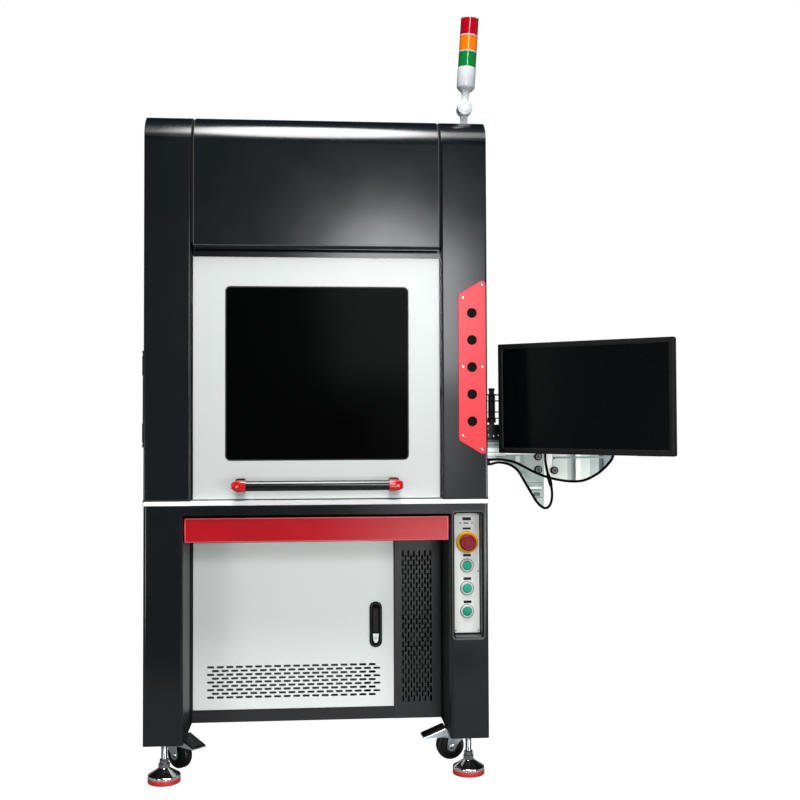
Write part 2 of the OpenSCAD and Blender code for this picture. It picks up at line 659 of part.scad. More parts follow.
module levelling_feet() color([0.75, 0.76, 0.77]) at()
  for (x = [-foot_x, foot_x]) for (y = [foot_y, body_d - foot_y]) foot(x, y);

rear_y = 845;
module caster_mounts() color([0.62, 0.63, 0.64]) at() {
  for (s = [-1, 1]) {
    // top plate of the swivel caster
    difference() {
      union() {
        translate([s * cast_x - 42, cast_y - 42, clear_h - 3]) cube([84, 84, 3]);
        translate([s * cast_x, cast_y, clear_h - 8]) cylinder(r = 22, h = 5);
        translate([s * cast_x, cast_y, clear_h - 18]) cylinder(r = 6, h = 12);
      }
    }
    // rigid bracket of the rear caster
    union() {
      translate([s * cast_x - 42, rear_y - 42, clear_h - 3]) cube([84, 84, 3]);
      difference() {
        translate([s * cast_x - 20, rear_y - 20, wheel_z - 12]) cube([40, 40, clear_h - 3 - wheel_z + 12]);
        translate([s * cast_x - 17, rear_y - 21, 0]) cube([34, 42, clear_h - 8]);
      }
      xcyl(rear_y, wheel_z, 4.95, s * cast_x - 24, s * cast_x + 24);
    }
  }
}

// Swivel caster frame: the wheel trails along +X from the swivel axis
module caster(s) translate([s * cast_x, cast_y, 0]) rotate([0, 0, s < 0 ? left_cast_a : right_cast_a]) children();

module fork() union() {
  difference() {
    translate([0, 0, clear_h - 17.5]) cylinder(r = 24, h = 9);
    translate([0, 0, clear_h - 20]) cylinder(r = 6.05, h = 20);
  }
  for (s = [-1, 1]) translate([0, s * 17 - (s > 0 ? 0 : 3), 0])
    yshape();
  translate([trail, 0, wheel_z]) rotate([90, 0, 0]) translate([0, 0, -23]) cylinder(r = 4.95, h = 46);
}
// one cheek of the fork, with the bore for the pedal's pivot
module yshape() translate([0, 3, 0]) rotate([90, 0, 0]) linear_extrude(3) difference() {
  polygon([[-17, clear_h - 17.5], [-15, clear_h - 30], [trail - 16, wheel_z + 3], [trail - 11, wheel_z - 9], [trail - 6, wheel_z - 13],
    [trail + 6, wheel_z - 13], [trail + 10.5, wheel_z - 6], [trail + 10.5, wheel_z + 6], [36, 66], [50, 68], [50, 81],
    [38, clear_h - 18], [20, clear_h - 17.5], [20, clear_h - 8.5], [-17, clear_h - 8.5]]);
  translate([44, 75]) circle(r = 3.05);
}

module front_left_fork() color([0.66, 0.66, 0.64]) at() caster(-1) fork();
module front_right_fork() color([0.66, 0.66, 0.64]) at() caster(1) fork();

// Wheel with its axle along Y
module wheel() rotate([90, 0, 0]) rotate_extrude()
  polygon(concat([[5, -15], [12, -15], [12, -11], [26, -11], [27, -13]],
    arc(wheel_d / 2 - 4, -9, 4, -90, 0, 4), arc(wheel_d / 2 - 4, 9, 4, 0, 90, 4),
    [[27, 13], [26, 11], [12, 11], [12, 15], [5, 15]]));

module front_left_wheel() color([0.05, 0.05, 0.05]) at() caster(-1) translate([trail, 0, wheel_z]) wheel();
module front_right_wheel() color([0.05, 0.05, 0.05]) at() caster(1) translate([trail, 0, wheel_z]) wheel();
module rear_left_wheel() color([0.05, 0.05, 0.05]) at() translate([-cast_x, rear_y, wheel_z]) rotate([0, 0, 90]) wheel();
module rear_right_wheel() color([0.05, 0.05, 0.05]) at() translate([cast_x, rear_y, wheel_z]) rotate([0, 0, 90]) wheel();

// Brake pedal over the wheel, pivoted on two stubs in the fork's cheeks
module pedal() union() {
  // sloping tread plate with two turned-down sides
  translate([0, 21, 0]) rotate([90, 0, 0]) linear_extrude(42)
    polygon([[46, 98], [106, 75], [106, 69.5], [52, 90], [46, 91]]);
  for (s = [-1, 1]) {
    translate([0, s * 22.5 + 1.5, 0]) rotate([90, 0, 0]) linear_extrude(3)
      polygon([[38, 70], [55, 70], [106, 68], [106, 75], [46, 98], [40, 97], [38, 92]]);
    translate([44, s * 20.5 - 3.5, 75]) rotate([-90, 0, 0]) cylinder(r = 3, h = 7);
  }
}
module left_brake_pedal() color([0.04, 0.04, 0.04]) at() caster(-1) pedal();
module right_brake_pedal() color([0.04, 0.04, 0.04]) at() caster(1) pedal();

// ---------------------------------------------------------------- inside

module work_table() color([0.7, 0.71, 0.72]) at() difference() {
  union() {
    box(-210, 210, 300, 700, 766, 786);
    for (x = [-180, 180]) for (y = [330, 670]) translate([x, y, top0]) cylinder(r = 15, h = 34);
  }
  for (i = [-2:2]) for (j = [-2:2]) translate([75 * i, 500 + 75 * j, 760]) cylinder(r = 3, h = 30);
}

module z_column() color([0.55, 0.56, 0.57]) at() union() {
  box(-110, 110, 790, 930, top0, top0 + 20);
  box(-70, 70, 820, 900, top0 + 20, 1560);
  for (s = [-1, 1]) box(s * 45 - 8, s * 45 + 8, 806, 820, 860, 1540);
  translate([0, 800, 850]) cylinder(r = 8, h = 700);
  box(-30, 30, 784, 820, 1540, 1560);
  box(-30, 30, 784, 820, 840, 850);
  box(-35, 35, 780, 900, 1560, 1640);
}

module laser_head() color([0.16, 0.17, 0.18]) at() union() {
  // saddle on the rails
  difference() {
    box(-80, 80, 780, 815, 1150, 1290);
    for (s = [-1, 1]) box(s * 45 - 8.5, s * 45 + 8.5, 805.5, 830, 1140, 1300);
    translate([0, 800, 1140]) cylinder(r = 8.5, h = 200);
    box(-9, 9, 800, 830, 1140, 1300);
  }
  box(-50, 50, 560, 780, 1170, 1250);
  // scanner housing and lens
  box(-70, 70, 430, 560, 1140, 1280);
  translate([0, 500, 1090]) cylinder(r = 42, h = 50);
  translate([0, 500, 1075]) cylinder(r = 48, h = 15);
}

module laser_source() color([0.3, 0.32, 0.35]) at() union() {
  box(-325, 115, 330, 880, 115, 245);
  box(-335, 125, 330, 334, 115, 245);
  for (x = [-325, 107]) for (y = [330, 872]) box(x, x + 8, y, y + 8, 111, 115);
}

module computer() color([0.2, 0.21, 0.22]) at() union() {
  // shelf and case
  box(-leg_in + 3.5, cdoor_x1 + 2, 240, 900, 262, 265);
  box(-300, 130, 300, 780, 265, 442);
  for (x = [-310, 130]) box(x, x + 10, 300, 303, 265, 442);
}

module chiller() color([0.7, 0.72, 0.72]) at() union() {
  difference() {
    union() {
      box(226, 336, 330, 900, 115, 570);
      // fan shroud
      box(226, 336, 290, 330, 260, 370);
      for (y = [340, 880]) box(230, 332, y, y + 10, 111, 115);
    }
    ycyl(281, 315, 51, 289, 326);
  }
  // fan motor and its spindle
  ycyl(281, 315, 14, 322, 328);
  ycyl(281, 315, 3, 298, 328);
}

module chiller_fan() color([0.1, 0.1, 0.1]) at() difference() {
  union() {
    ycyl(281, 315, 18, 296, 320);
    for (a = [0:60:300]) translate([281, 308, 315]) rotate([0, a, 0])
      translate([14, -1.5, -9]) rotate([30, 0, 0]) cube([34, 3, 18]);
  }
  ycyl(281, 315, 3.05, 290, 325);
}

base_frame();
cabinet_shell();
table_plate();
enclosure_shell();
left_column();
right_column();
header_panel();
service_hatch();
grille_panel();
door_panel();
door_window();
door_handle();
handle_ends();
door_carriage();
door_rails();
lift_cylinder();
drawer_front();
drawer_tray();
cabinet_door();
cabinet_lock();
lock_lever();
control_plate();
stop_collar();
stop_button();
button_bezels();
upper_button();
middle_button();
lower_button();
accent_plate();
lamp_foot();
lamp_base();
lamp_green();
lamp_orange();
lamp_red();
lamp_cap();
side_bracket();
arm_post();
swing_arm();
monitor_housing();
monitor_screen();
signal_lead();
power_lead();
cable_gland();
levelling_feet();
caster_mounts();
front_left_fork();
front_right_fork();
front_left_wheel();
front_right_wheel();
rear_left_wheel();
rear_right_wheel();
left_brake_pedal();
right_brake_pedal();
work_table();
z_column();
laser_head();
laser_source();
chiller();
chiller_fan();
computer();
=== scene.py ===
import math

import bmesh
import bpy
from mathutils import Matrix, Vector


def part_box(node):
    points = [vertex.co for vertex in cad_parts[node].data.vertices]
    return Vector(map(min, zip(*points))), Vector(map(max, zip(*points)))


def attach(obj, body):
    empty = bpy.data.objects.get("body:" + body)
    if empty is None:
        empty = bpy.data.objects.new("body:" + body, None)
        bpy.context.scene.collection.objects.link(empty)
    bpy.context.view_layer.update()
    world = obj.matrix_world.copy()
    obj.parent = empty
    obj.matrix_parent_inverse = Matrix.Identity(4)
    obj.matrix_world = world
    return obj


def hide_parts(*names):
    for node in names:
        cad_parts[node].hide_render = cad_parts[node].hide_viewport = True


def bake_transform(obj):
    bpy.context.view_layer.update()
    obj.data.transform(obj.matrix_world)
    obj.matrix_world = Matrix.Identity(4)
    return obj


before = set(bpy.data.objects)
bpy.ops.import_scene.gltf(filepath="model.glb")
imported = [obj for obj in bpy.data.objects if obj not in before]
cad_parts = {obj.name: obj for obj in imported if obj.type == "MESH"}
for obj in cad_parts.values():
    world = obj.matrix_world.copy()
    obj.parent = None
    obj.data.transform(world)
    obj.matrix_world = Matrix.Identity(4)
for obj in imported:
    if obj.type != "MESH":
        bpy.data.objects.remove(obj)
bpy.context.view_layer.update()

scene = bpy.context.scene

# The machine's own frame in millimetres: X 0 at the middle of the base, Y 0 at
# its front face, Z 0 on the floor. S turns it into the row frame.
_lo, _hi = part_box("base_frame")
OX, OY, OZ = (_lo.x + _hi.x) / 2, _lo.y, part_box("levelling_feet")[0].z
S = Matrix.Translation((OX, OY, OZ)) @ Matrix.Scale(0.001, 4)


def V(x, y, z):
    return S @ Vector((x, y, z))


def mm(node):
    """A CAD node's box in machine millimetres."""
    a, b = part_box(node)
    i = S.inverted()
    return i @ a, i @ b


# ------------------------------------------------------------------ camera
def camera():
    yaw, pitch, roll = math.radians(4.65), math.radians(1.62), math.radians(-0.21)
    fwd = Vector((math.sin(yaw) * math.cos(pitch), math.cos(yaw) * math.cos(pitch), math.sin(pitch)))
    right = Vector((math.cos(yaw), -math.sin(yaw), 0))
    up = right.cross(fwd)
    r = right * math.cos(roll) + up * math.sin(roll)
    u = -right * math.sin(roll) + up * math.cos(roll)
    p = V(-16, -2885, 912)
    data = bpy.data.cameras.new("camera")
    data.sensor_width = 36
    data.lens = 1098 / 800 * 36
    data.clip_start, data.clip_end = 0.05, 80
    data.shift_x = -0.0009
    o = bpy.data.objects.new("camera", data)
    scene.collection.objects.link(o)
    o.matrix_world = Matrix(((r.x, u.x, -fwd.x, p.x), (r.y, u.y, -fwd.y, p.y), (r.z, u.z, -fwd.z, p.z), (0, 0, 0, 1)))
    scene.camera = o


camera()

# ------------------------------------------------------------------ node materials


class Mat:
    """A node material with object-space procedural detail."""

    def __init__(self, name, color, rough=0.5, metallic=0.0, **sockets):
        self.m = bpy.data.materials.new(name)
        self.m.use_nodes = True
        self.t = self.m.node_tree
        self.b = next(n for n in self.t.nodes if n.type == "BSDF_PRINCIPLED")
        self.color, self.rough = color, rough
        self.b.inputs["Base Color"].default_value = (*color, 1)
        self.b.inputs["Roughness"].default_value = rough
        self.b.inputs["Metallic"].default_value = metallic
        for k, v in sockets.items():
            self.b.inputs[k.replace("_", " ")].default_value = v
        self.m.diffuse_color = (*color, 1)
        self.coord = self.node("ShaderNodeTexCoord")
        self.height = None

    def node(self, kind, **props):
        n = self.t.nodes.new(kind)
        for k, v in props.items():
            setattr(n, k, v)
        return n

    def link(self, a, b):
        self.t.links.new(a, b)

    def mapped(self, scale=(1, 1, 1), rot=(0, 0, 0)):
        n = self.node("ShaderNodeMapping")
        n.inputs["Scale"].default_value = scale
        n.inputs["Rotation"].default_value = rot
        self.link(self.coord.outputs["Object"], n.inputs["Vector"])
        return n.outputs["Vector"]

    def noise(self, scale, detail=3.0, rough=0.55, stretch=(1, 1, 1), rot=(0, 0, 0)):
        n = self.node("ShaderNodeTexNoise")
        n.inputs["Scale"].default_value = scale
        n.inputs["Detail"].default_value = detail
        n.inputs["Roughness"].default_value = rough
        self.link(self.mapped(stretch, rot), n.inputs["Vector"])
        return n.outputs["Fac"]

    def remap(self, value, lo, hi, a=0.3, b=0.7):
        n = self.node("ShaderNodeMapRange")
        n.inputs["From Min"].default_value, n.inputs["From Max"].default_value = a, b
        n.inputs["To Min"].default_value, n.inputs["To Max"].default_value = lo, hi
        self.link(value, n.inputs["Value"])
        return n.outputs["Result"]

    def vary_color(self, fac, amount=0.06, tint=(1, 1, 1)):
        """Darkens and lightens the base colour with fac, by amount either way."""
        mix = self.node("ShaderNodeMix", data_type="RGBA")
        c = self.color
        mix.inputs["A"].default_value = (*[x * (1 - amount) for x in c], 1)
        mix.inputs["B"].default_value = (*[min(1, x * (1 + amount) * t) for x, t in zip(c, tint)], 1)
        for i in mix.inputs:
            if i.type == "RGBA" and i.name == "A":
                i.default_value = (*[x * (1 - amount) for x in c], 1)
            if i.type == "RGBA" and i.name == "B":
                i.default_value = (*[min(1, x * (1 + amount) * t) for x, t in zip(c, tint)], 1)
        self.link(fac, mix.inputs["Factor"])
        self.link(mix.outputs["Result"], self.b.inputs["Base Color"])
        return self

    def vary_rough(self, fac, amount=0.05):
        self.link(self.remap(fac, max(0.02, self.rough - amount), self.rough + amount), self.b.inputs["Roughness"])
        return self

    def bump(self, height, strength=0.2, distance=0.0002):
        n = self.node("ShaderNodeBump")
        n.inputs["Strength"].default_value = strength
        n.inputs["Distance"].default_value = distance
        self.link(height, n.inputs["Height"])
        if self.height is not None:
            self.link(self.height, n.inputs["Normal"])
        self.height = n.outputs["Normal"]
        self.link(self.height, self.b.inputs["Normal"])
        return self


def powder(name, color, rough=0.36, peel=0.10, grain=900, vary=0.05, **k):
    """Powder-coated sheet: fine orange peel, faint clouding of colour and gloss."""
    m = Mat(name, color, rough, **k)
    cloud = m.noise(3.0, 4)
    m.vary_color(cloud, vary)
    m.vary_rough(m.noise(14, 5), 0.015)
    m.bump(m.noise(grain, 2, 0.5), peel, 0.00015)
    m.bump(m.noise(110, 2, 0.5), peel * 0.5, 0.0004)
    return m.m


def plastic(name, color, rough=0.4, grain=1600, peel=0.15, vary=0.04, **k):
    m = Mat(name, color, rough, **k)
    m.vary_color(m.noise(9, 3), vary)
    m.vary_rough(m.noise(60, 4), 0.04)
    m.bump(m.noise(grain, 2), peel, 0.0001)
    return m.m


def metal(name, color, rough=0.3, brush=(1, 1, 1), grain=500, peel=0.08, vary=0.06, **k):
    m = Mat(name, color, rough, 1.0, **k)
    m.vary_color(m.noise(6, 4), vary)
    m.vary_rough(m.noise(grain, 3, stretch=brush), 0.07)
    m.bump(m.noise(grain, 3, stretch=brush), peel, 0.00006)
    return m.m


black = powder("black_powder", (0.0024, 0.0043, 0.0058), 0.175, 0.02, vary=0.03)
# lighter grey for the rounded edges of black panels, the recess lip and raised rims: painted highlight
black_edge_highlight = powder("black_edge_highlight", (0.050, 0.054, 0.057), 0.30, 0.02, vary=0.03)
black_satin = powder("black_satin", (0.0070, 0.0078, 0.0080), 0.42, 0.05, vary=0.03, Specular_IOR_Level=0.30)
# lighter red for the drawer's rounded edges and the rims of the plate's holes: painted highlight
red_edge_highlight = powder("red_edge_highlight", (0.86, 0.13, 0.15), 0.30, 0.02, vary=0.02)
# lighter copy of the pale paint for the cabinet door's rounded rim: painted highlight
pale_edge_highlight = powder("pale_edge_highlight", (0.93, 0.95, 0.93), 0.36, 0.03, vary=0.01)
grille_grey = powder("grille_paint", (0.0165, 0.0190, 0.0210), 0.30, 0.05)
# lighter grey for the grille panel's rounded edges: painted highlight
grille_edge_highlight = powder("grille_edge_highlight", (0.13, 0.135, 0.135), 0.32, 0.03, vary=0.03)
black_dark = powder("black_inner", (0.008, 0.009, 0.010), 0.5, 0.15)
white = powder("white_powder", (0.475, 0.502, 0.487), 0.33, 0.08, vary=0.012)
# brighter copy of the lift door's white paint for the recessed, shaded cabinet door: painted light
pale = powder("pale_powder_painted_light", (0.85, 0.895, 0.865), 0.36, 0.08, vary=0.012)
tablewhite = powder("table_white", (0.90, 0.905, 0.905), 0.30, 0.08, vary=0.015)
red = powder("red_powder", (0.40, 0.0020, 0.008), 0.22, 0.03, vary=0.02)
coral = powder("coral_paint", (0.68, 0.036, 0.048), 0.28, 0.04, vary=0.02, Specular_IOR_Level=0.27)
# dark red for the accent plate's rounded rim: painted shade outline
coral_edge_shade = powder("coral_edge_shade", (0.20, 0.005, 0.010), 0.42, 0.03, vary=0.02, Specular_IOR_Level=0.15)
inside = powder("grey_inside", (0.30, 0.31, 0.32), 0.5, 0.15)
grey_case = powder("grey_case", (0.16, 0.17, 0.18), 0.45, 0.15)
panel_white = powder("panel_white", (0.65, 0.66, 0.635), 0.36, 0.04, vary=0.01)
rubber = plastic("black_rubber", (0.004, 0.004, 0.004), 0.62, 900, 0.25, Specular_IOR_Level=0.3)
tyre = plastic("wheel_rubber", (0.0030, 0.0030, 0.0030), 0.38, 700, 0.15, Specular_IOR_Level=0.35)
red_rubber = plastic("red_rubber", (0.52, 0.014, 0.010), 0.40, 900, 0.15)
black_plastic = plastic("black_plastic", (0.0035, 0.0036, 0.0038), 0.32, 1400, 0.15, Specular_IOR_Level=0.4)
black_matte = plastic("black_matte", (0.0045, 0.0046, 0.0048), 0.52, 1400, 0.22, Specular_IOR_Level=0.3)
bezel_plastic = plastic("bezel_plastic", (0.0037, 0.0040, 0.0043), 0.42, 2200, 0.20, Specular_IOR_Level=0.25)
lead_skin = plastic("lead_skin", (0.0010, 0.0010, 0.0010), 0.42, 1500, 0.12, Specular_IOR_Level=0.06)
red_gloss = plastic("red_gloss", (0.50, 0.004, 0.006), 0.16, 700, 0.03, Coat_Weight=0.6, Coat_Roughness=0.08)
stop_red = plastic("stop_red", (0.165, 0.0035, 0.010), 0.26, 900, 0.04, Specular_IOR_Level=0.2)
yellow = plastic("collar_yellow", (0.82, 0.42, 0.02), 0.28, 900, 0.05)
white_plastic = plastic("white_plastic", (0.42, 0.44, 0.46), 0.30, 1200, 0.06, vary=0.01)
chrome = metal("chrome", (0.78, 0.79, 0.80), 0.07, grain=300, peel=0.02, vary=0.02)
# darker copy of chrome for the stud, hexagon and collar: painted shade
stud_chrome_shade = metal("stud_chrome_shade", (0.27, 0.285, 0.30), 0.12, grain=300, peel=0.02, vary=0.02)
steel = metal("bright_steel", (0.62, 0.63, 0.64), 0.24, (1, 1, 14), 260, 0.10)
zinc = metal("zinc_plate", (0.46, 0.51, 0.54), 0.34, grain=160, peel=0.12, vary=0.12)
zinc_light = metal("zinc_light", (0.62, 0.66, 0.69), 0.36, grain=160, peel=0.12, vary=0.08)
aluminium = metal("anodised", (0.66, 0.72, 0.68), 0.40, (14, 1, 1), 220, 0.10)


def alloy(name, color, rough=0.42):
    """Anodised sheet: partly diffuse, brushed upright."""
    m = Mat(name, color, rough, 0.45)
    m.vary_color(m.noise(5, 3), 0.05)
    m.vary_rough(m.noise(240, 3, stretch=(1, 1, 10)), 0.06)
    m.bump(m.noise(240, 3, stretch=(1, 1, 10)), 0.08, 0.00006)
    return m.m


alu_plate = alloy("alloy_plate", (0.375, 0.44, 0.41))
# lighter and darker copies of the plate alloy, used for the bracket's painted highlights and painted shade; the light
# and mid copies are also the lock cover's own greys
alu_bright_and_highlight = alloy("alloy_bright_and_painted_highlight", (0.80, 0.85, 0.81))
alu_lit_face = alloy("alloy_painted_light_face", (0.58, 0.645, 0.60))
alu_mid_and_shade = alloy("alloy_mid_and_painted_shade", (0.23, 0.29, 0.28))
alu_shade_dark = alloy("alloy_painted_shade_dark", (0.07, 0.095, 0.10))
alu_shade_blue = alloy("alloy_painted_shade_blue", (0.20, 0.245, 0.265))
# lighter grey for the faces of the gusset's bolt heads: painted highlight
bolt_highlight_grey = metal("bolt_highlight_grey", (0.16, 0.17, 0.17), 0.40, grain=400, peel=0.1)
dark_bolt = metal("dark_bolt", (0.07, 0.075, 0.075), 0.36, grain=400, peel=0.1)
bezel_ring = plastic("bezel_ring", (0.52, 0.53, 0.53), 0.22, 900, 0.04)
# near-black matte for seam faces, slot and hole walls, the lock pocket, plate holes, the cabinet gaps and under bolt
# heads: painted shade
gap_shade = plastic("seam_strip", (0.004, 0.004, 0.004), 0.75, 900, 0.1, Specular_IOR_Level=0.08)
socket_black = plastic("socket_black", (0.02, 0.02, 0.02), 0.5)
tag_black = plastic("tag_black", (0.004, 0.0042, 0.0045), 0.5, Specular_IOR_Level=0.2)
tag_pale = plastic("tag_pale", (0.07, 0.075, 0.075), 0.45)


def glass_black():
    m = Mat("dark_pane", (0.0007, 0.0009, 0.0008), 0.16)
    m.vary_rough(m.noise(5, 3), 0.03)
    m.vary_color(m.noise(1.6, 2), 0.25)
    m.b.inputs["Specular IOR Level"].default_value = 0.015
    return m.m


def display():
    m = Mat("display", (0.0007, 0.0011, 0.0013), 0.26)
    m.vary_color(m.noise(1.3, 2), 0.25)
    m.vary_rough(m.noise(400, 2), 0.05)
    m.bump(m.noise(2600, 1), 0.10, 0.00005)
    m.b.inputs["Specular IOR Level"].default_value = 0.12
    return m.m


def button_green(name, color, glow=0.25):
    m = Mat(name, color, 0.30)
    m.vary_color(m.noise(90, 3), 0.12)
    m.bump(m.noise(500, 2), 0.06, 0.0002)
    # faint emission: painted glow
    m.b.inputs["Emission Color"].default_value = (*color, 1)
    m.b.inputs["Emission Strength"].default_value = glow
    m.b.inputs["Specular IOR Level"].default_value = 0.25
    return m.m


def lens_mat(name, color):
    """Clear moulded lens with fine upright ribs behind a smooth skin."""
    m = Mat(name, color, 0.22)
    ribs = m.node("ShaderNodeTexWave", wave_type="BANDS", bands_direction="X")
    ribs.inputs["Scale"].default_value = 90
    ribs.inputs["Distortion"].default_value = 0.4
    m.link(m.coord.outputs["Object"], ribs.inputs["Vector"])
    m.vary_color(ribs.outputs["Fac"], 0.10)
    m.bump(ribs.outputs["Fac"], 0.04, 0.0004)
    m.b.inputs["Specular IOR Level"].default_value = 0.05
    m.b.inputs["Coat Weight"].default_value = 1.0
    m.b.inputs["Coat Roughness"].default_value = 0.07
    m.b.inputs["Subsurface Weight"].default_value = 0.15
    m.b.inputs["Subsurface Radius"].default_value = (0.02, 0.01, 0.005)
    m.b.inputs["Subsurface Scale"].default_value = 0.3
    return m.m


pane = glass_black()
screen_mat = display()
# the second green, a darker copy for the lower button, is painted shade; the faint emission on both is a painted glow
green_a = button_green("button_green", (0.002, 0.30, 0.185), 0.03)
green_shaded = button_green("button_green_low", (0.0015, 0.24, 0.15), 0.02)
lens_green = lens_mat("lens_green", (0.0015, 0.125, 0.022))
lens_orange = lens_mat("lens_orange", (0.66, 0.115, 0.001))
lens_red = lens_mat("lens_red", (0.26, 0.001, 0.006))

# ------------------------------------------------------------------ mesh helpers


def obj_from(name, bm, mats, body, angle=35, bevel=0.0, seg=2, M=None, replaces=(), ride=True):
    """Makes an object of a mesh in machine millimetres (or of M's own frame)."""
    bmesh.ops.recalc_face_normals(bm, faces=bm.faces)
    bm.transform(S @ M if M is not None else S)
    me = bpy.data.meshes.new(name)
    bm.to_mesh(me)
    bm.free()
    for m in mats if isinstance(mats, (list, tuple)) else [mats]:
        me.materials.append(m)
    me.polygons.foreach_set("use_smooth", [True] * len(me.polygons))
    me.set_sharp_from_angle(angle=math.radians(angle))
    me.update()
    o = bpy.data.objects.new(name, me)
    scene.collection.objects.link(o)
    if bevel:
        b = o.modifiers.new("edges", "BEVEL")
        b.width = bevel / 1000
        b.segments = seg
        b.limit_method = "ANGLE"
        b.angle_limit = math.radians(30)
        b.harden_normals = False
        b.use_clamp_overlap = True
        w = o.modifiers.new("normals", "WEIGHTED_NORMAL")
        w.keep_sharp = True
        w.weight = 60
    if ride:
        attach(o, body)
    if replaces:
        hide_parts(*([replaces] if isinstance(replaces, str) else replaces))
    return o


def add(bm, other, M=None, mat=0):
    """Joins another bmesh into bm, moved by M."""
    if M is not None:
        other.transform(M)
    for f in other.faces:
        f.material_index = mat if f.material_index == 0 else f.material_index
    me = bpy.data.meshes.new("tmp")
    other.to_mesh(me)
    other.free()
    bm.from_mesh(me)
    bpy.data.meshes.remove(me)
    return bm


def box(x0, x1, y0, y1, z0, z1, mat=0):
    bm = bmesh.new()
    v = [bm.verts.new((x, y, z)) for x in (x0, x1) for y in (y0, y1) for z in (z0, z1)]
    for q in ((0, 1, 3, 2), (4, 6, 7, 5), (0, 4, 5, 1), (2, 3, 7, 6), (0, 2, 6, 4), (1, 5, 7, 3)):
        f = bm.faces.new([v[i] for i in q])
        f.material_index = mat
    return bm


def lathe(profile, seg=64, mat=0, mats=None):
    """Turns (r, z) points about Z; mats gives a material index per profile step."""
    bm = bmesh.new()
    rings = []
    for r, z in profile:
        if r < 1e-6:
            rings.append([bm.verts.new((0, 0, z))])
        else:
            rings.append([bm.verts.new((r * math.cos(2 * math.pi * i / seg), r * math.sin(2 * math.pi * i / seg), z)) for i in range(seg)])
    for k in range(len(rings) - 1):
        a, b = rings[k], rings[k + 1]
        for i in range(seg):
            j = (i + 1) % seg
            if len(a) == 1 and len(b) == 1:
                continue
            if len(a) == 1:
                f = bm.faces.new((a[0], b[i], b[j]))
            elif len(b) == 1:
                f = bm.faces.new((a[i], a[j], b[0]))
            else:
                f = bm.faces.new((a[i], a[j], b[j], b[i]))
            f.material_index = mats[k] if mats else mat
    return bm


def prism(n, r, z0, z1, mat=0, cham=0.0, rot=0.0):
    """An n-sided nut or bolt head with a small chamfer round its faces."""
    bm = bmesh.new()
    prof = [(0, z0), (r - cham, z0), (r, z0 + cham * 0.5), (r, z1 - cham * 0.5), (r - cham, z1), (0, z1)]
    rings = []
    for rr_, z in prof:
        if rr_ < 1e-6:
            rings.append([bm.verts.new((0, 0, z))])
        else:
            rings.append([bm.verts.new((rr_ * math.cos(rot + 2 * math.pi * i / n), rr_ * math.sin(rot + 2 * math.pi * i / n), z)) for i in range(n)])
    for k in range(len(rings) - 1):
        a, b = rings[k], rings[k + 1]
        for i in range(n):
            j = (i + 1) % n
            if len(a) == 1:
                f = bm.faces.new((a[0], b[i], b[j]))
            elif len(b) == 1:
                f = bm.faces.new((a[i], a[j], b[0]))
            else:
                f = bm.faces.new((a[i], a[j], b[j], b[i]))
            f.material_index = mat
    return bm


def arc(cx, cy, r, a0, a1, n=8):
    return [(cx + r * math.cos(math.radians(a0 + (a1 - a0) * i / n)), cy + r * math.sin(math.radians(a0 + (a1 - a0) * i / n))) for i in range(n + 1)]


def rr(x0, y0, x1, y1, r, n=8):
    return (arc(x1 - r, y1 - r, r, 0, 90, n) + arc(x0 + r, y1 - r, r, 90, 180, n)
            + arc(x0 + r, y0 + r, r, 180, 270, n) + arc(x1 - r, y0 + r, r, 270, 360, n))


def circle(cx, cy, r, n=48):
    return [(cx + r * math.cos(2 * math.pi * i / n), cy + r * math.sin(2 * math.pi * i / n)) for i in range(n)]


def slot2(cx, cy, l, w, upright=False, n=5):
    r, h = w / 2, l / 2 - w / 2
    p = [(h + r * math.cos(a), r * math.sin(a)) for a in [math.radians(-90 + 180 * i / n) for i in range(n + 1)]]
    p += [(-h + r * math.cos(a), r * math.sin(a)) for a in [math.radians(90 + 180 * i / n) for i in range(n + 1)]]
    return [(cx - y, cy + x) if upright else (cx + x, cy + y) for x, y in p]


def sheet2d(loops, t):
    """A flat plate t thick with the first loop outside and the rest as holes, in local XY, from z -t/2 to t/2."""
    cu = bpy.data.curves.new("tmp", "CURVE")
    cu.dimensions = "2D"
    cu.fill_mode = "BOTH"
    cu.extrude = t / 2
    for loop in loops:
        s = cu.splines.new("POLY")
        s.points.add(len(loop) - 1)
        for p, q in zip(s.points, loop):
            p.co = (q[0], q[1], 0, 1)
        s.use_cyclic_u = True
    o = bpy.data.objects.new("tmp", cu)
    me = bpy.data.meshes.new_from_object(o)
    bm = bmesh.new()
    bm.from_mesh(me)
    bmesh.ops.remove_doubles(bm, verts=bm.verts, dist=1e-4)
    bpy.data.meshes.remove(me)
    bpy.data.objects.remove(o)
    bpy.data.curves.remove(cu)
    return bm


def facing_front(y):
    """Local XY plane with z up -> machine XZ plane, local +z towards the operator, at depth y."""
    return Matrix(((1, 0, 0, 0), (0, 0, -1, y), (0, 1, 0, 0), (0, 0, 0, 1)))


def facing_side(x):
    """Local XY -> machine YZ, local +z towards +X, at x."""
    return Matrix(((0, 0, 1, x), (1, 0, 0, 0), (0, 1, 0, 0), (0, 0, 0, 1)))


def front_axis(x, y, z):
    """Local +z points to the operator, from (x, y, z)."""
    return Matrix.Translation((x, y, z)) @ Matrix.Rotation(math.radians(90), 4, "X")


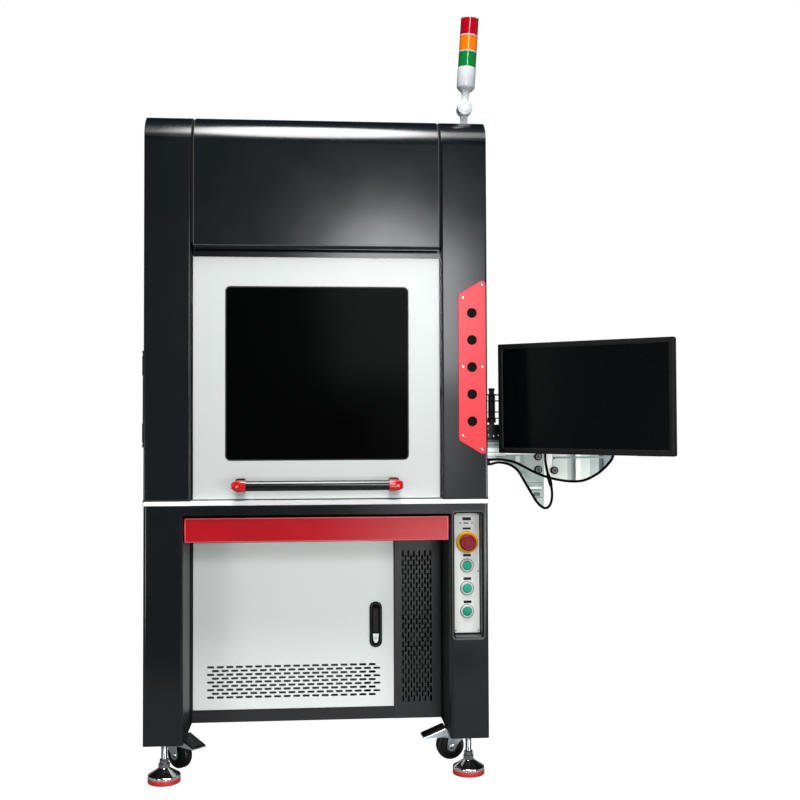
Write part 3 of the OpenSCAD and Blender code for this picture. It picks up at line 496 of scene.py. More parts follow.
def sweep(path, r, seg=12, caps=True, mat=0):
    """A round tube along points, with frames carried without twist."""
    bm = bmesh.new()
    pts = [Vector(p) for p in path]
    t = []
    for i in range(len(pts)):
        d = pts[min(i + 1, len(pts) - 1)] - pts[max(i - 1, 0)]
        t.append(d.normalized())
    u = t[0].cross(Vector((0.1, 0.2, 1))).normalized()
    rings = []
    for i, p in enumerate(pts):
        u = (u - t[i] * u.dot(t[i])).normalized()
        w = t[i].cross(u)
        rad = r[i] if isinstance(r, (list, tuple)) else r
        rings.append([bm.verts.new(p + u * (rad * math.cos(2 * math.pi * k / seg)) + w * (rad * math.sin(2 * math.pi * k / seg))) for k in range(seg)])
    for i in range(len(rings) - 1):
        for k in range(seg):
            f = bm.faces.new((rings[i][k], rings[i][(k + 1) % seg], rings[i + 1][(k + 1) % seg], rings[i + 1][k]))
            f.material_index = mat
    if caps:
        for ring in (rings[0], rings[-1]):
            f = bm.faces.new(ring)
            f.material_index = mat
    return bm


def loft(sections, closed_ends=True, mat=0):
    """Joins closed sections of equal point count."""
    bm = bmesh.new()
    rings = [[bm.verts.new(p) for p in s] for s in sections]
    n = len(rings[0])
    for a, b in zip(rings, rings[1:]):
        for i in range(n):
            f = bm.faces.new((a[i], a[(i + 1) % n], b[(i + 1) % n], b[i]))
            f.material_index = mat
    if closed_ends:
        for s in (rings[0], rings[-1]):
            f = bm.faces.new(s)
            f.material_index = mat
    return bm


def clone(node, mat, body, bevel=0.8, seg=2, angle=32, name=None, skin=None, round_over=3.0, gap=None, edge=None, warp=None):
    """The CAD node's own shape with its coplanar triangles merged and its edges eased.
    skin picks the points of the outer face, whose edges get the larger round_over."""
    # gap gives the faces it picks the second material, and edge gives the round-over the third: painted shade in gaps;
    # along edges, painted highlight on most paints and painted shade on the coral plate
    bm = bmesh.new()
    bm.from_mesh(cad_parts[node].data)
    bm.transform(S.inverted())
    bmesh.ops.remove_doubles(bm, verts=bm.verts, dist=0.004)
    bmesh.ops.dissolve_limit(bm, angle_limit=math.radians(0.6), verts=bm.verts, edges=bm.edges, delimit={"NORMAL"})
    if warp:
        for v in bm.verts:
            warp(v.co)
    for f in bm.faces:
        f.material_index = 1 if gap and gap[0](f.calc_center_bounds()) else 0
    if skin:
        w = bm.edges.layers.float.new("bevel_weight_edge")
        for e in bm.edges:
            if len(e.link_faces) == 2 and e.calc_face_angle(0) > math.radians(40) and all(skin(v.co) for v in e.verts):
                e[w] = 1.0
    o = obj_from(name or node + "_skin", bm, [mat, gap[1] if gap else mat, edge or mat], body, angle, 0 if skin else bevel, seg, replaces=node)
    if skin:
        b = o.modifiers.new("edges", "BEVEL")
        b.width = round_over / 1000
        b.segments = 4
        b.limit_method = "WEIGHT"
        b.material = 2 if edge else -1
        b.use_clamp_overlap = True
        n = o.modifiers.new("normals", "WEIGHTED_NORMAL")
        n.keep_sharp = True
        n.weight = 60
    return o


def front_face(y):
    return lambda v: v.y < y + 0.3


def seam_face(c):
    return 320.5 < abs(c.x) < 328.2 and c.z > 1390


def leg_inside(c):
    return abs(abs(c.x) - 347.5) < 0.6 and c.z < 693


DOOR_A, DOOR_B = mm("cabinet_door")


def door_rim(v):
    """The outer edges of the cabinet door's front, not those of its slots and lock opening."""
    return v.y < 203.3 and (min(v.x - DOOR_A.x, DOOR_B.x - v.x) < 0.4 or min(v.z - DOOR_A.z, DOOR_B.z - v.z) < 0.4)


def open_slots(c):
    """Opens the door's punched slots to the height they have with their rounded lips."""
    if c.y < 205.2 and -312 < c.x < 165 and 174 < c.z < 264:
        row = 177.5 + 10.4 * round((c.z - 177.5) / 10.4)
        c.z = row + (c.z - row) * 1.26


def slot_wall(c):
    return 203.3 < c.y < 204.8


def grille_wall(c):
    return 205.3 < c.y < 206.8 and 236 < c.x < 345


def roof_face(v):
    return v.y < 0.3 or v.z > 1750.7 or (v.y < 80.3 and v.z > 1670.7 and abs(math.hypot(v.y - 80, v.z - 1671) - 80) < 0.4)


def bolt(bm, x, y, z, r=4.0, h=2.5, mat=0, axis="front", kind="pan"):
    """A screw head at a point: pan head with a cross recess, or a socket cap."""
    if kind == "pan":
        prof = [(0, h * 0.55), (r * 0.16, h * 0.55), (r * 0.22, h * 0.98), (r * 0.55, h), (r * 0.85, h * 0.75), (r, h * 0.25), (r, 0)]
    elif kind == "hex":
        prof = None
    else:
        prof = [(0, h * 0.45), (r * 0.45, h * 0.45), (r * 0.5, h), (r * 0.9, h), (r, h * 0.9), (r, 0)]
    M = {"front": front_axis(x, y, z), "right": Matrix.Translation((x, y, z)) @ Matrix.Rotation(math.radians(90), 4, "Y"),
         "left": Matrix.Translation((x, y, z)) @ Matrix.Rotation(math.radians(-90), 4, "Y"),
         "up": Matrix.Translation((x, y, z)), "back": Matrix.Translation((x, y, z)) @ Matrix.Rotation(math.radians(-90), 4, "X")}[axis]
    if prof is None:
        add(bm, lathe([(0, h * 0.2), (r * 1.25, h * 0.2), (r * 1.3, 0)], 32), M, mat)
        return add(bm, prism(6, r, h * 0.2, h, cham=r * 0.08), M, mat)
    return add(bm, lathe(prof, 20), M, mat)


# ------------------------------------------------------------------ the two monitor leads
LEAD_A = [[468, 150, 831], [482, 150, 831], [503.6, 143, 831.8], [532.4, 137, 828.4],
          [557.1, 134, 819.8], [590.2, 124, 801.6], [624.6, 111, 786.2], [658.2, 95, 777],
          [691.1, 76, 772.9], [722.1, 52, 776.7], [751.1, 22, 795.6], [770.6, 0, 817.9],
          [781, -20, 839.7], [782, -28, 868], [778, -28, 900], [776, -28, 936]]
LEAD_B = [[468, 150, 819], [482, 150, 819], [503.6, 149, 823.7], [530.9, 144, 818.7],
          [547.5, 136, 808.5], [557.7, 129, 796.7], [567.5, 125, 779.1], [578.3, 121, 759.3],
          [589.5, 116, 739], [601.5, 110, 717.8], [614.5, 103, 703], [626, 97, 699.2],
          [635.6, 92, 707.1], [640.6, 89, 725.3], [640.6, 88, 748.9], [635.4, 89, 773.6],
          [629.6, 91, 796.8], [624.4, 93, 828.3], [624, 94, 860], [624, 94, 890], [623, 94, 936]]


def spline(p, n):
    out, m = [], len(p)
    q = [Vector(v) for v in p]
    for i in range(m - 1):
        p0, p1, p2, p3 = q[max(i - 1, 0)], q[i], q[i + 1], q[min(i + 2, m - 1)]
        for k in range(n):
            t = k / n
            out.append(0.5 * ((2 * p1) + (p2 - p0) * t + (2 * p0 - 5 * p1 + 4 * p2 - p3) * t * t + (3 * p1 - p0 - 3 * p2 + p3) * t ** 3))
    out.append(q[-1])
    return out


def lead(name, route, node, sleeve=None):
    path = spline(route, 8)
    if sleeve:
        mid = min(range(len(path)), key=lambda k: (path[k] - Vector(sleeve)).length)
        sub = path[mid - 6:mid + 7]
        rad = [3.8, 4.6, 5.3, 5.6, 5.6, 5.6, 5.6, 5.6, 5.6, 5.6, 5.3, 4.6, 3.8]
        e = obj_from(name + "_sleeve", sweep(sub, rad, 20), lead_skin, "machine", angle=50, ride=False)
        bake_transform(e)
    bm = sweep(path, 3.6, 16)
    o = obj_from(name, bm, lead_skin, "machine", angle=60, ride=False)
    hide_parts(node)
    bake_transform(o)
    return path


path_a = lead("signal_lead_skin", LEAD_A, "signal_lead")
path_b = lead("power_lead_skin", LEAD_B, "power_lead", sleeve=(634.5, 89.3, 777.0))

# ------------------------------------------------------------------ housings
for _node, _mat, _body, _bev, _slot, _skin in [
        ("base_frame", black, "machine", 2.6, "black_sheet", front_face(0)),
        ("cabinet_shell", black_dark, "machine", 0.5, "black_sheet", None),
        ("table_plate", tablewhite, "machine", 1.5, "white_sheet", None),
        ("enclosure_shell", black, "machine", 1.5, "black_sheet", None),
        ("left_column", black, "machine", 3.0, "black_sheet", roof_face),
        ("right_column", black, "machine", 3.0, "black_sheet", roof_face),
        ("header_panel", black, "machine", 2.6, "black_sheet", roof_face),
        ("service_hatch", black, "hatch", 0.7, "black_sheet", None),
        ("grille_panel", grille_grey, "machine", 0.7, "black_sheet", front_face(205)),
        ("cabinet_door", pale, "low_door", 1.7, "pale_door", door_rim),
        ("lock_lever", black_matte, "lever", 1.2, "black_plastic", None),
        ("drawer_front", red, "drawer", 2.6, "red_sheet", front_face(8)),
        ("drawer_tray", black, "drawer", 0.6, "black_sheet", None),
        ("door_panel", white, "lift_door", 2.2, "white_sheet", front_face(18)),
        ("door_window", pane, "lift_door", 0.4, "dark_window", None),
        ("door_carriage", black, "lift_door", 0.6, "black_sheet", None),
        ("door_rails", steel, "machine", 0.8, "steel", None),
        ("lift_cylinder", aluminium, "machine", 1.5, "aluminium", None),
        ("work_table", steel, "machine", 0.8, "steel", None),
        ("z_column", aluminium, "machine", 1.0, "aluminium", None),
        ("laser_head", black_matte, "focus_head", 1.5, "black_plastic", None),
        ("laser_source", grey_case, "machine", 1.5, "grey_paint", None),
        ("chiller", black_matte, "machine", 1.5, "grey_paint", None),
        ("chiller_fan", black_plastic, "fan", 0.5, "black_plastic", None),
        ("computer", grey_case, "machine", 1.5, "grey_paint", None),
        ("cable_gland", black_plastic, "machine", 0.8, "black_plastic", None),
        ("caster_mounts", zinc, "machine", 0.6, "zinc", None)]:
    # seam faces, door slot walls and grille hole walls take the near-black gap paint as painted shade; the legs' inner
    # faces take satin black
    # the round-overs of black, red, pale and grille paint take a lighter copy of that paint: painted highlight
    clone(_node, _mat, _body, _bev, skin=_skin, round_over=_bev,
          gap={"left_column": (seam_face, gap_shade), "right_column": (seam_face, gap_shade), "base_frame": (leg_inside, black_satin),
               "cabinet_door": (slot_wall, gap_shade), "grille_panel": (grille_wall, gap_shade)}.get(_node),
          warp=open_slots if _node == "cabinet_door" else None,
          edge={black: black_edge_highlight, red: red_edge_highlight, pale: pale_edge_highlight, grille_grey: grille_edge_highlight}.get(_mat) if _skin else None)

# Swing-handle lock: rounded escutcheon with a raised rim, the pocket the lever
# folds into, its pin, and the bright cylinder cover below
LCX, LCZ = 162.65, 371.5


def stadium(w, h):
    return rr(LCX - w / 2, LCZ - h / 2, LCX + w / 2, LCZ + h / 2, w / 2 - 0.02, 12)


bm = bmesh.new()
add(bm, sheet2d([stadium(34.7, 127), stadium(30.2, 122.5)], 4.0), facing_front(201.0))
# the pocket the lever folds into is in the near-black gap paint: painted shade
add(bm, sheet2d([stadium(30.8, 123.1), rr(152.8, 346.5, 171.8, 424.0, 8)], 2.6), facing_front(201.7), 1)
# the thin raised rim is in the lighter edge grey: painted highlight
add(bm, sheet2d([stadium(27.0, 119.3), stadium(25.0, 117.3)], 1.4), facing_front(200.1), 2)
add(bm, sheet2d([rr(149.8, 312.8, 175.2, 430.2, 1), rr(153, 346.5, 171.6, 424.0, 4)], 8), facing_front(207.0), 1)
add(bm, sheet2d([rr(149.8, 312.8, 175.2, 430.2, 1)], 8), facing_front(215.0), 1)
add(bm, lathe([(0, 151), (2.0, 151), (2.0, 174), (0, 174)], 20), Matrix.Translation((0, 203, 415)) @ Matrix.Rotation(math.radians(90), 4, "Y"))
obj_from("lock_escutcheon", bm, [lead_skin, gap_shade, black_edge_highlight], "low_door", angle=40, bevel=0.6, replaces="cabinet_lock")
bm = bmesh.new()
add(bm, sheet2d([[(154.5, 345.8), (170.9, 345.8), (169.3, 327), (167.0, 321.8), (162.65, 319.8), (158.3, 321.8), (156.0, 327)]], 1.8), facing_front(199.7))
add(bm, sheet2d([circle(LCX, 333.5, 3.6, 28), circle(LCX, 333.5, 2.4, 28)], 0.8), facing_front(198.7), 1)
obj_from("lock_cylinder_cover", bm, [alu_bright_and_highlight, alu_mid_and_shade], "low_door", angle=40, bevel=0.5)

# ------------------------------------------------------------------ lift door trim
# Soft gasket round the pane
_w = 241
bm = bmesh.new()
add(bm, sheet2d([rr(-_w - 0.2, 835.8, _w + 0.2, 1294.2, 13.2), rr(-_w + 3, 839, _w - 3, 1291, 10.5)], 1.6), facing_front(18.6))
obj_from("window_gasket", bm, rubber, "lift_door", bevel=0.4)

# Black oval tube, like the door's tube
bm = bmesh.new()
_n, _rings = 36, []
_xs, _x = [], -186.5
while _x < 186.5:
    _xs.append(_x)
    _x += 3.0
_xs.append(186.5)
_sec = []
for i, x in enumerate(_xs):
    _sec.append([Vector((x, -22 + 11 * math.cos(2 * math.pi * k / _n), 771 + 13.2 * math.sin(2 * math.pi * k / _n))) for k in range(_n)])
add(bm, loft(_sec))
obj_from("handle_tube", bm, plastic("handle_skin", (0.0020, 0.0021, 0.0022), 0.20, 1200, 0.04), "lift_door", bevel=0.6, replaces="door_handle")

for s in (-1, 1):
    bm = bmesh.new()
    # rounded hood: sections along X, each a squashed D that closes outwards
    secs = []
    x_in, x_out = 186.0, 223.5
    for i in range(13):
        t = i / 12
        x = x_in + (x_out - x_in) * t
        k = math.sqrt(max(0.0, 1 - max(0, (t - 0.35) / 0.65) ** 2)) if t > 0.35 else 1.0
        k = max(k, 0.12)
        sec = []
        for a in range(28):
            th = 2 * math.pi * a / 28
            cy, cz = math.cos(th), math.sin(th)
            sy = math.copysign(abs(cy) ** 0.7, cy)
            sz = math.copysign(abs(cz) ** 0.7, cz)
            y = -21 - 15.8 * max(0, -sy) * k if sy < 0 else -21 + 9.0 * sy
            z = 771.0 + 15.3 * sz * (0.32 + 0.68 * k)
            sec.append(Vector((s * x, y, z)))
        secs.append(sec if s > 0 else sec[::-1])
    add(bm, loft(secs))
    obj_from("handle_end_left" if s < 0 else "handle_end_right", bm, red_gloss, "lift_door", angle=50, bevel=1.2, replaces="handle_ends")
    # black foot on the door that the hood is pushed over
    bm = bmesh.new()
    x0, x1 = sorted((s * 186.6, s * 213.0))
    add(bm, sheet2d([rr(x0, 758.0, x1, 790.2, 6)], 30), facing_front(3.0))
    obj_from("handle_foot_left" if s < 0 else "handle_foot_right", bm, black_plastic, "lift_door", angle=40, bevel=1.6)

# black strip at the foot of the enclosure on the table plate: painted shade for the dark line where the columns meet
# the plate
bm = bmesh.new()
for s in (-1, 1):
    x0, x1 = sorted((s * 450.3, s * 328.6))
    add(bm, box(x0, x1, -1.9, 2.0, 731.0, 736.2))
obj_from("column_foot_shade", bm, rubber, "machine", bevel=0.7)

# dark strip between the legs' inner faces and the cabinet front: painted shade in the gap
bm = bmesh.new()
for s in (-1, 1):
    x0, x1 = sorted((s * 347.6, s * 346.0))
    add(bm, box(x0, x1, 160, 206.8, 112, 608))
obj_from("cabinet_gap_shade", bm, gap_shade, "machine", bevel=0.4)

# ------------------------------------------------------------------ drawer and red plate
AP = [(385.5, 1265), (436, 1299.5), (385, 1081), (436, 1081), (384, 898), (435, 862.6)]
def plate_rim(v):
    return v.y < -2.7 and all(math.hypot(v.x - 408.5, v.z - 1080.8 - 71.9 * i) > 15 for i in range(-2, 3))


clone("accent_plate", coral, "machine", 0.7, skin=plate_rim, round_over=1.0, edge=coral_edge_shade)
bm = bmesh.new()
for x, z in AP:
    bolt(bm, x, -3.0, z, 3.4, 1.6)
obj_from("accent_screws", bm, chrome, "machine", angle=40)
# dark discs in the plate's holes as painted shade, each with a thin lighter red ring as painted highlight
bm = bmesh.new()
for i in range(-2, 3):
    add(bm, lathe([(0, 0), (12.2, 0), (13.1, 0.9), (13.1, 3.4), (12.0, 3.4), (12.0, 2.0), (0, 2.0)], 40, mats=[0, 1, 1, 0, 0, 0]), front_axis(408.5, 1.2, 1080.8 + 71.9 * i))
obj_from("hole_shade_and_highlight", bm, [gap_shade, red_edge_highlight], "machine", angle=40)

# ------------------------------------------------------------------ control recess
PX0, PX1, PZ0, PZ1 = 355.7, 437.9, 364.3, 697.9
# the pressed lip that runs round the mouth of the recess, in the lighter edge grey as painted highlight
bm = bmesh.new()
secs = []
for d, y in ((-2.6, -0.2), (-1.7, -0.55), (-0.6, -0.35), (0.2, 0.5), (0.6, 2.0), (0.9, 4.6), (2.6, 5.4), (3.6, 6.0), (4.2, 7.2), (4.5, 9.0), (5.0, 20.0), (5.4, 31.0), (5.6, 35.6)):
    r = max(2.5, 9 - d * 0.6)
    secs.append([Vector((x, y, z)) for x, z in rr(PX0 + d, PZ0 + d, PX1 - d, PZ1 - d, r, 8)])
lip = bmesh.new()
add(lip, loft(secs[:5], closed_ends=False))
obj_from("recess_lip", lip, black_edge_highlight, "machine", angle=60)
add(bm, loft(secs[4:], closed_ends=False))
bm.normal_update()
# upward faces of the recess floor take the lighter edge grey: painted light from above
for f in bm.faces:
    c_ = f.calc_center_median()
    f.material_index = 1 if abs(f.normal.z) > 0.85 and c_.z < PZ0 + 9 and c_.y > 6 else 0
liner = powder("recess_liner", (0.0015, 0.0018, 0.0020), 0.34, 0.05, Specular_IOR_Level=0.25)
liner.use_backface_culling = False
o = obj_from("recess_liner", bm, [liner, black_edge_highlight], "machine", angle=60)
so = o.modifiers.new("sheet", "SOLIDIFY")
so.thickness = 0.0008
so.offset = 1

bm = bmesh.new()
add(bm, sheet2d([rr(PX0 + 8.0, PZ0 + 10.5, PX1 - 7.3, PZ1 - 6.0, 2), circle(398, 615, 11.9, 36)]
               + [circle(396.9, z, 13.2, 36) for z in (552.7, 492.1, 431.4)], 2.0), facing_front(35.5))
obj_from("panel_plate", bm, panel_white, "machine", bevel=0.4, replaces="control_plate")
bm = bmesh.new()
# blank tags over the switches and the socket at the top
for x, z, w, h in ((397.0, 677.0, 23, 8.5), (397.0, 651.0, 22, 5.5), (397.5, 580.0, 21, 7.0), (398.0, 517.6, 21, 7.0), (398.5, 456.0, 21, 7.0)):
    add(bm, sheet2d([rr(x - w / 2, z - h / 2, x + w / 2, z + h / 2, 1.2, 3)], 0.7), facing_front(34.3))
obj_from("panel_tags", bm, tag_black, "machine", bevel=0.2)
bm = bmesh.new()
for x, w in ((380.0, 4.5), (395.5, 12.5), (411.5, 3.5)):
    add(bm, sheet2d([rr(x - w / 2, 663.6, x + w / 2, 667.4, 0.8, 3)], 0.5), facing_front(34.35))
obj_from("panel_marks", bm, tag_pale, "machine", bevel=0.15)
bm = bmesh.new()
for x, z in ((427.2, 537.5), (427.2, 380.5), (366.6, 690.0), (427.2, 690.0), (366.6, 380.5)):
    bolt(bm, x, 34.5, z, 2.0, 1.0)
obj_from("panel_screws", bm, dark_bolt, "machine", angle=40)

# emergency stop: yellow collar, red mushroom head with a raised rim
SX, SZ = 398, 615
bm = bmesh.new()
add(bm, lathe([(11.9, 0.2), (19, 0.2), (20.5, 3), (22.5, 6.6), (25.6, 7.3), (28.0, 5.8), (29.7, 2.6), (30, 0), (11.9, 0), (11.9, 0.2)], 72), front_axis(SX, 34.6, SZ))
obj_from("stop_ring", bm, yellow, "machine", angle=40, replaces="stop_collar")
bm = bmesh.new()
add(bm, lathe([(0, 29.6), (9.0, 29.6), (12.0, 29.3), (14.5, 28.9), (16.2, 29.6), (18.0, 29.6), (20.0, 28.2), (21.4, 25.8), (21.6, 22.8), (21.0, 20.2),
               (19.0, 18.6), (13.5, 17.8), (11.5, 16.0), (11.0, 8.0), (11.0, 1.0), (0, 1.0)], 72), front_axis(SX, 34.0, SZ))
obj_from("stop_head", bm, stop_red, "stop_head", angle=40, replaces="stop_button")
for n, z, g in ((1, 552.7, green_a), (2, 492.1, green_a), (3, 431.4, green_shaded)):
    bm = bmesh.new()
    add(bm, lathe([(12.65, 1.0), (12.65, 5.6), (13.3, 6.4), (14.8, 6.4), (15.4, 5.8), (15.6, 2.2), (16.4, 1.6), (17.3, 1.3), (17.5, 0.0), (12.65, 0.0), (12.65, 1.0)], 64), front_axis(396.9, 34.6, z))
    obj_from("bezel_%d" % n, bm, bezel_ring, "machine", angle=38, replaces="button_bezels")
    bm = bmesh.new()
    # dark ring under the bezel: painted shade outline
    add(bm, lathe([(17.55, 0.0), (17.55, 0.7), (18.5, 0.6), (18.7, 0.0), (17.55, 0.0)], 56), front_axis(396.9, 34.55, z))
    obj_from("button_gasket_%d" % n, bm, lead_skin, "machine", angle=40)
    bm = bmesh.new()
    add(bm, lathe([(0, 6.9), (8.5, 6.7), (10.6, 6.2), (11.5, 5.3), (11.9, 4.0), (11.9, 0.8), (0, 0.8)], 56), front_axis(396.9, 34.6, z))
    obj_from("button_lens_%d" % n, bm, g, "button_%d" % n, angle=45,
             replaces=("upper_button", "middle_button", "lower_button")[n - 1])

# ------------------------------------------------------------------ stack light
LP = Vector((406, 100, 1801))
LEAN = Matrix.Translation(LP) @ Matrix.Rotation(math.radians(3.8), 4, "Y")
bm = bmesh.new()
add(bm, lathe([(0, 0), (22, 0), (22, 1.6), (20.5, 3), (0, 3)], 48), Matrix.Translation((406, 109, 1751)))
# upright blade with a round head
prof = [(-9.5, 3), (-9.2, 12), (-8.6, 20), (-9.5, 27)] + [(20.4 * math.cos(math.radians(a)), 50 + 20.4 * math.sin(math.radians(a))) for a in range(242, -63, -8)] + [(9.5, 27), (8.6, 20), (9.2, 12), (9.5, 3)]
add(bm, sheet2d([prof], 15.6), Matrix.Translation((406, 0, 1751)) @ facing_front(109.2))
obj_from("lamp_stand", bm, white_plastic, "machine", angle=40, bevel=1.6, seg=3, replaces="lamp_foot")
bm = bmesh.new()
M2 = LEAN @ front_axis(0, 0, 0)
add(bm, lathe([(0, 0), (20.2, 0), (20.4, 1.2), (20.4, 12.0), (19.2, 14.2), (17.0, 15.0), (0, 15.0)], 64), M2)
# slim neck that flares into the base
secs = []
for z, w, d in ((10, 10.2, 6.5), (20, 9.6, 6.6), (28, 9.0, 7.0), (36, 9.2, 8.2), (42, 10.8, 10.0), (47, 13.2, 12.8), (50.5, 15.8, 15.6)):
    y0 = -7.6 + (z - 10) / 40.5 * 7.6
    secs.append([Vector((w * math.copysign(abs(math.cos(t)) ** 0.75, math.cos(t)), y0 + d * math.copysign(abs(math.sin(t)) ** 0.75, math.sin(t)), z)) for t in [2 * math.pi * i / 40 for i in range(40)]])
add(bm, loft(secs), LEAN)
add(bm, lathe([(0, 50), (16, 50), (19, 51), (24.0, 57), (25.0, 59.5), (25.0, 110.2), (24.2, 112.8), (0, 112.8)], 72), LEAN)
obj_from("lamp_body", bm, white_plastic, "lamp", angle=38, bevel=0.0, replaces="lamp_base")
bm = bmesh.new()
add(bm, prism(6, 5.6, 15.0, 16.6, cham=0.5), M2)
add(bm, lathe([(0, 14.8), (8.6, 14.8), (8.8, 15.4), (7.6, 15.6), (0, 15.6)], 40), M2)
obj_from("lamp_pivot_cap", bm, plastic("pivot_cap", (0.62, 0.64, 0.66), 0.3), "lamp", angle=40)


def band(z0, z1):
    bm = bmesh.new()
    add(bm, lathe([(0, z0), (24.4, z0), (25.0, z0 + 0.5), (25.0, z1 - 0.5), (24.4, z1), (0, z1)], 72), LEAN)
    return bm


for nm, i, more, m, nd in (("green", 0, 0, lens_green, "lamp_green"), ("orange", 1, 0, lens_orange, "lamp_orange"), ("red", 2, 4, lens_red, "lamp_red")):
    z0 = 113 + 45 * i
    z1 = z0 + 41.5 + more
    bm = bmesh.new()
    add(bm, lathe([(0, z0), (23.9, z0), (24.5, z0 + 0.6), (24.5, z1 - 0.6), (23.9, z1), (0, z1)], 96), LEAN)
    obj_from("lens_" + nm, bm, m, "lamp", angle=40, replaces=nd)
    if i < 2:
        obj_from("band_" + nm, band(z1, z1 + 3.5), white_plastic, "lamp", angle=40)
bm = bmesh.new()
z = 113 + 90 + 45.5
add(bm, lathe([(0, z), (24.8, z), (25.1, z + 0.7), (25.0, z + 3.0), (24.0, z + 5.6), (21.4, z + 7.6), (16, z + 8.4), (0, z + 8.6)], 72), LEAN)
obj_from("lamp_top", bm, white_plastic, "lamp", angle=40, replaces="lamp_cap")

# ------------------------------------------------------------------ feet
bm = bmesh.new()
rb = bmesh.new()
for sx in (-400, 400):
    for sy in (45, 955):
        T = Matrix.Translation((sx, sy, 0))
        add(rb, lathe([(0, 0), (40.8, 0), (42.1, 1.0), (42.5, 2.4), (42.5, 5.3), (42.0, 5.8), (42.5, 6.3), (42.5, 11.6), (42.0, 12.5), (0, 12.5)], 72), T)
        # steel cup with a rolled rim, cone, hexagon, collar and polished stud
        add(bm, lathe([(0, 12.5), (41.4, 12.5), (42.3, 13.2), (42.3, 15.2), (41.8, 15.6), (42.3, 16.0), (42.3, 19.2), (41.8, 20.3), (40.6, 21.2), (39.2, 21.8),
                       (15.4, 37.0), (14.4, 38.4), (0, 38.4)], 72), T)
        add(bm, prism(6, 15.4, 38.2, 49.8, cham=1.2, rot=0.35), T, 1)
        add(bm, lathe([(0, 49.6), (10.6, 49.6), (10.6, 50.6), (11.8, 51.4), (11.8, 55.2), (11.3, 55.6), (11.8, 56.0), (11.8, 59.0), (10.8, 60.4), (0, 60.4)], 56), T, 1)
        add(bm, lathe([(0, 60), (8.6, 60), (7.9, 61.6), (7.9, 148.8), (7.0, 150), (0, 150)], 48), T, 1)
        add(bm, prism(6, 13.4, 107.2, 119, cham=1.0, rot=0.1), T)
obj_from("feet_steel", bm, [chrome, stud_chrome_shade], "machine", angle=30, replaces="levelling_feet")
obj_from("feet_pads", rb, red_rubber, "machine", angle=40)

# ------------------------------------------------------------------ casters


def caster(s):
    return Matrix.Translation((s * 393, 168, 0)) @ Matrix.Rotation(math.radians(-42 if s < 0 else 186), 4, "Z")


def along_y(x, y, z):
    return Matrix.Translation((x, y, z)) @ Matrix.Rotation(math.radians(-90), 4, "X")


WHEEL = [(5.0, -14), (8.5, -14.2), (10.5, -13.2), (10.5, -9.5), (13, -8.2), (24.5, -8.2), (26.8, -10.6), (27.6, -12.6), (32.4, -12.6),
         (36.2, -11.6), (37.6, -9.2), (38.0, -5), (38.0, 5), (37.6, 9.2), (36.2, 11.6), (32.4, 12.6), (27.6, 12.6), (26.8, 10.6), (24.5, 8.2),
         (13, 8.2), (10.5, 9.5), (10.5, 13.2), (8.5, 14.2), (5.0, 14), (5.0, -14)]
for nm, nd, M, bdy in (("fl", "front_left_wheel", caster(-1) @ along_y(28, 0, 43), "wheel_fl"),
                       ("fr", "front_right_wheel", caster(1) @ along_y(28, 0, 43), "wheel_fr"),
                       ("rl", "rear_left_wheel", Matrix.Translation((-393, 845, 43)) @ Matrix.Rotation(math.radians(90), 4, "Y"), "wheel_rl"),
                       ("rr", "rear_right_wheel", Matrix.Translation((393, 845, 43)) @ Matrix.Rotation(math.radians(90), 4, "Y"), "wheel_rr")):
    bm = bmesh.new()
    add(bm, lathe(WHEEL, 72), M)
    # spokes' relief: six shallow webs each side
    for k in range(6):
        for sd in (-1, 1):
            W = M @ Matrix.Rotation(2 * math.pi * k / 6, 4, "Z")
            add(bm, box(10, 26, -1.3, 1.3, *( (8.0, 10.2) if sd > 0 else (-10.2, -8.0))), W)
    obj_from("wheel_" + nm, bm, tyre, bdy, angle=35, replaces=nd)

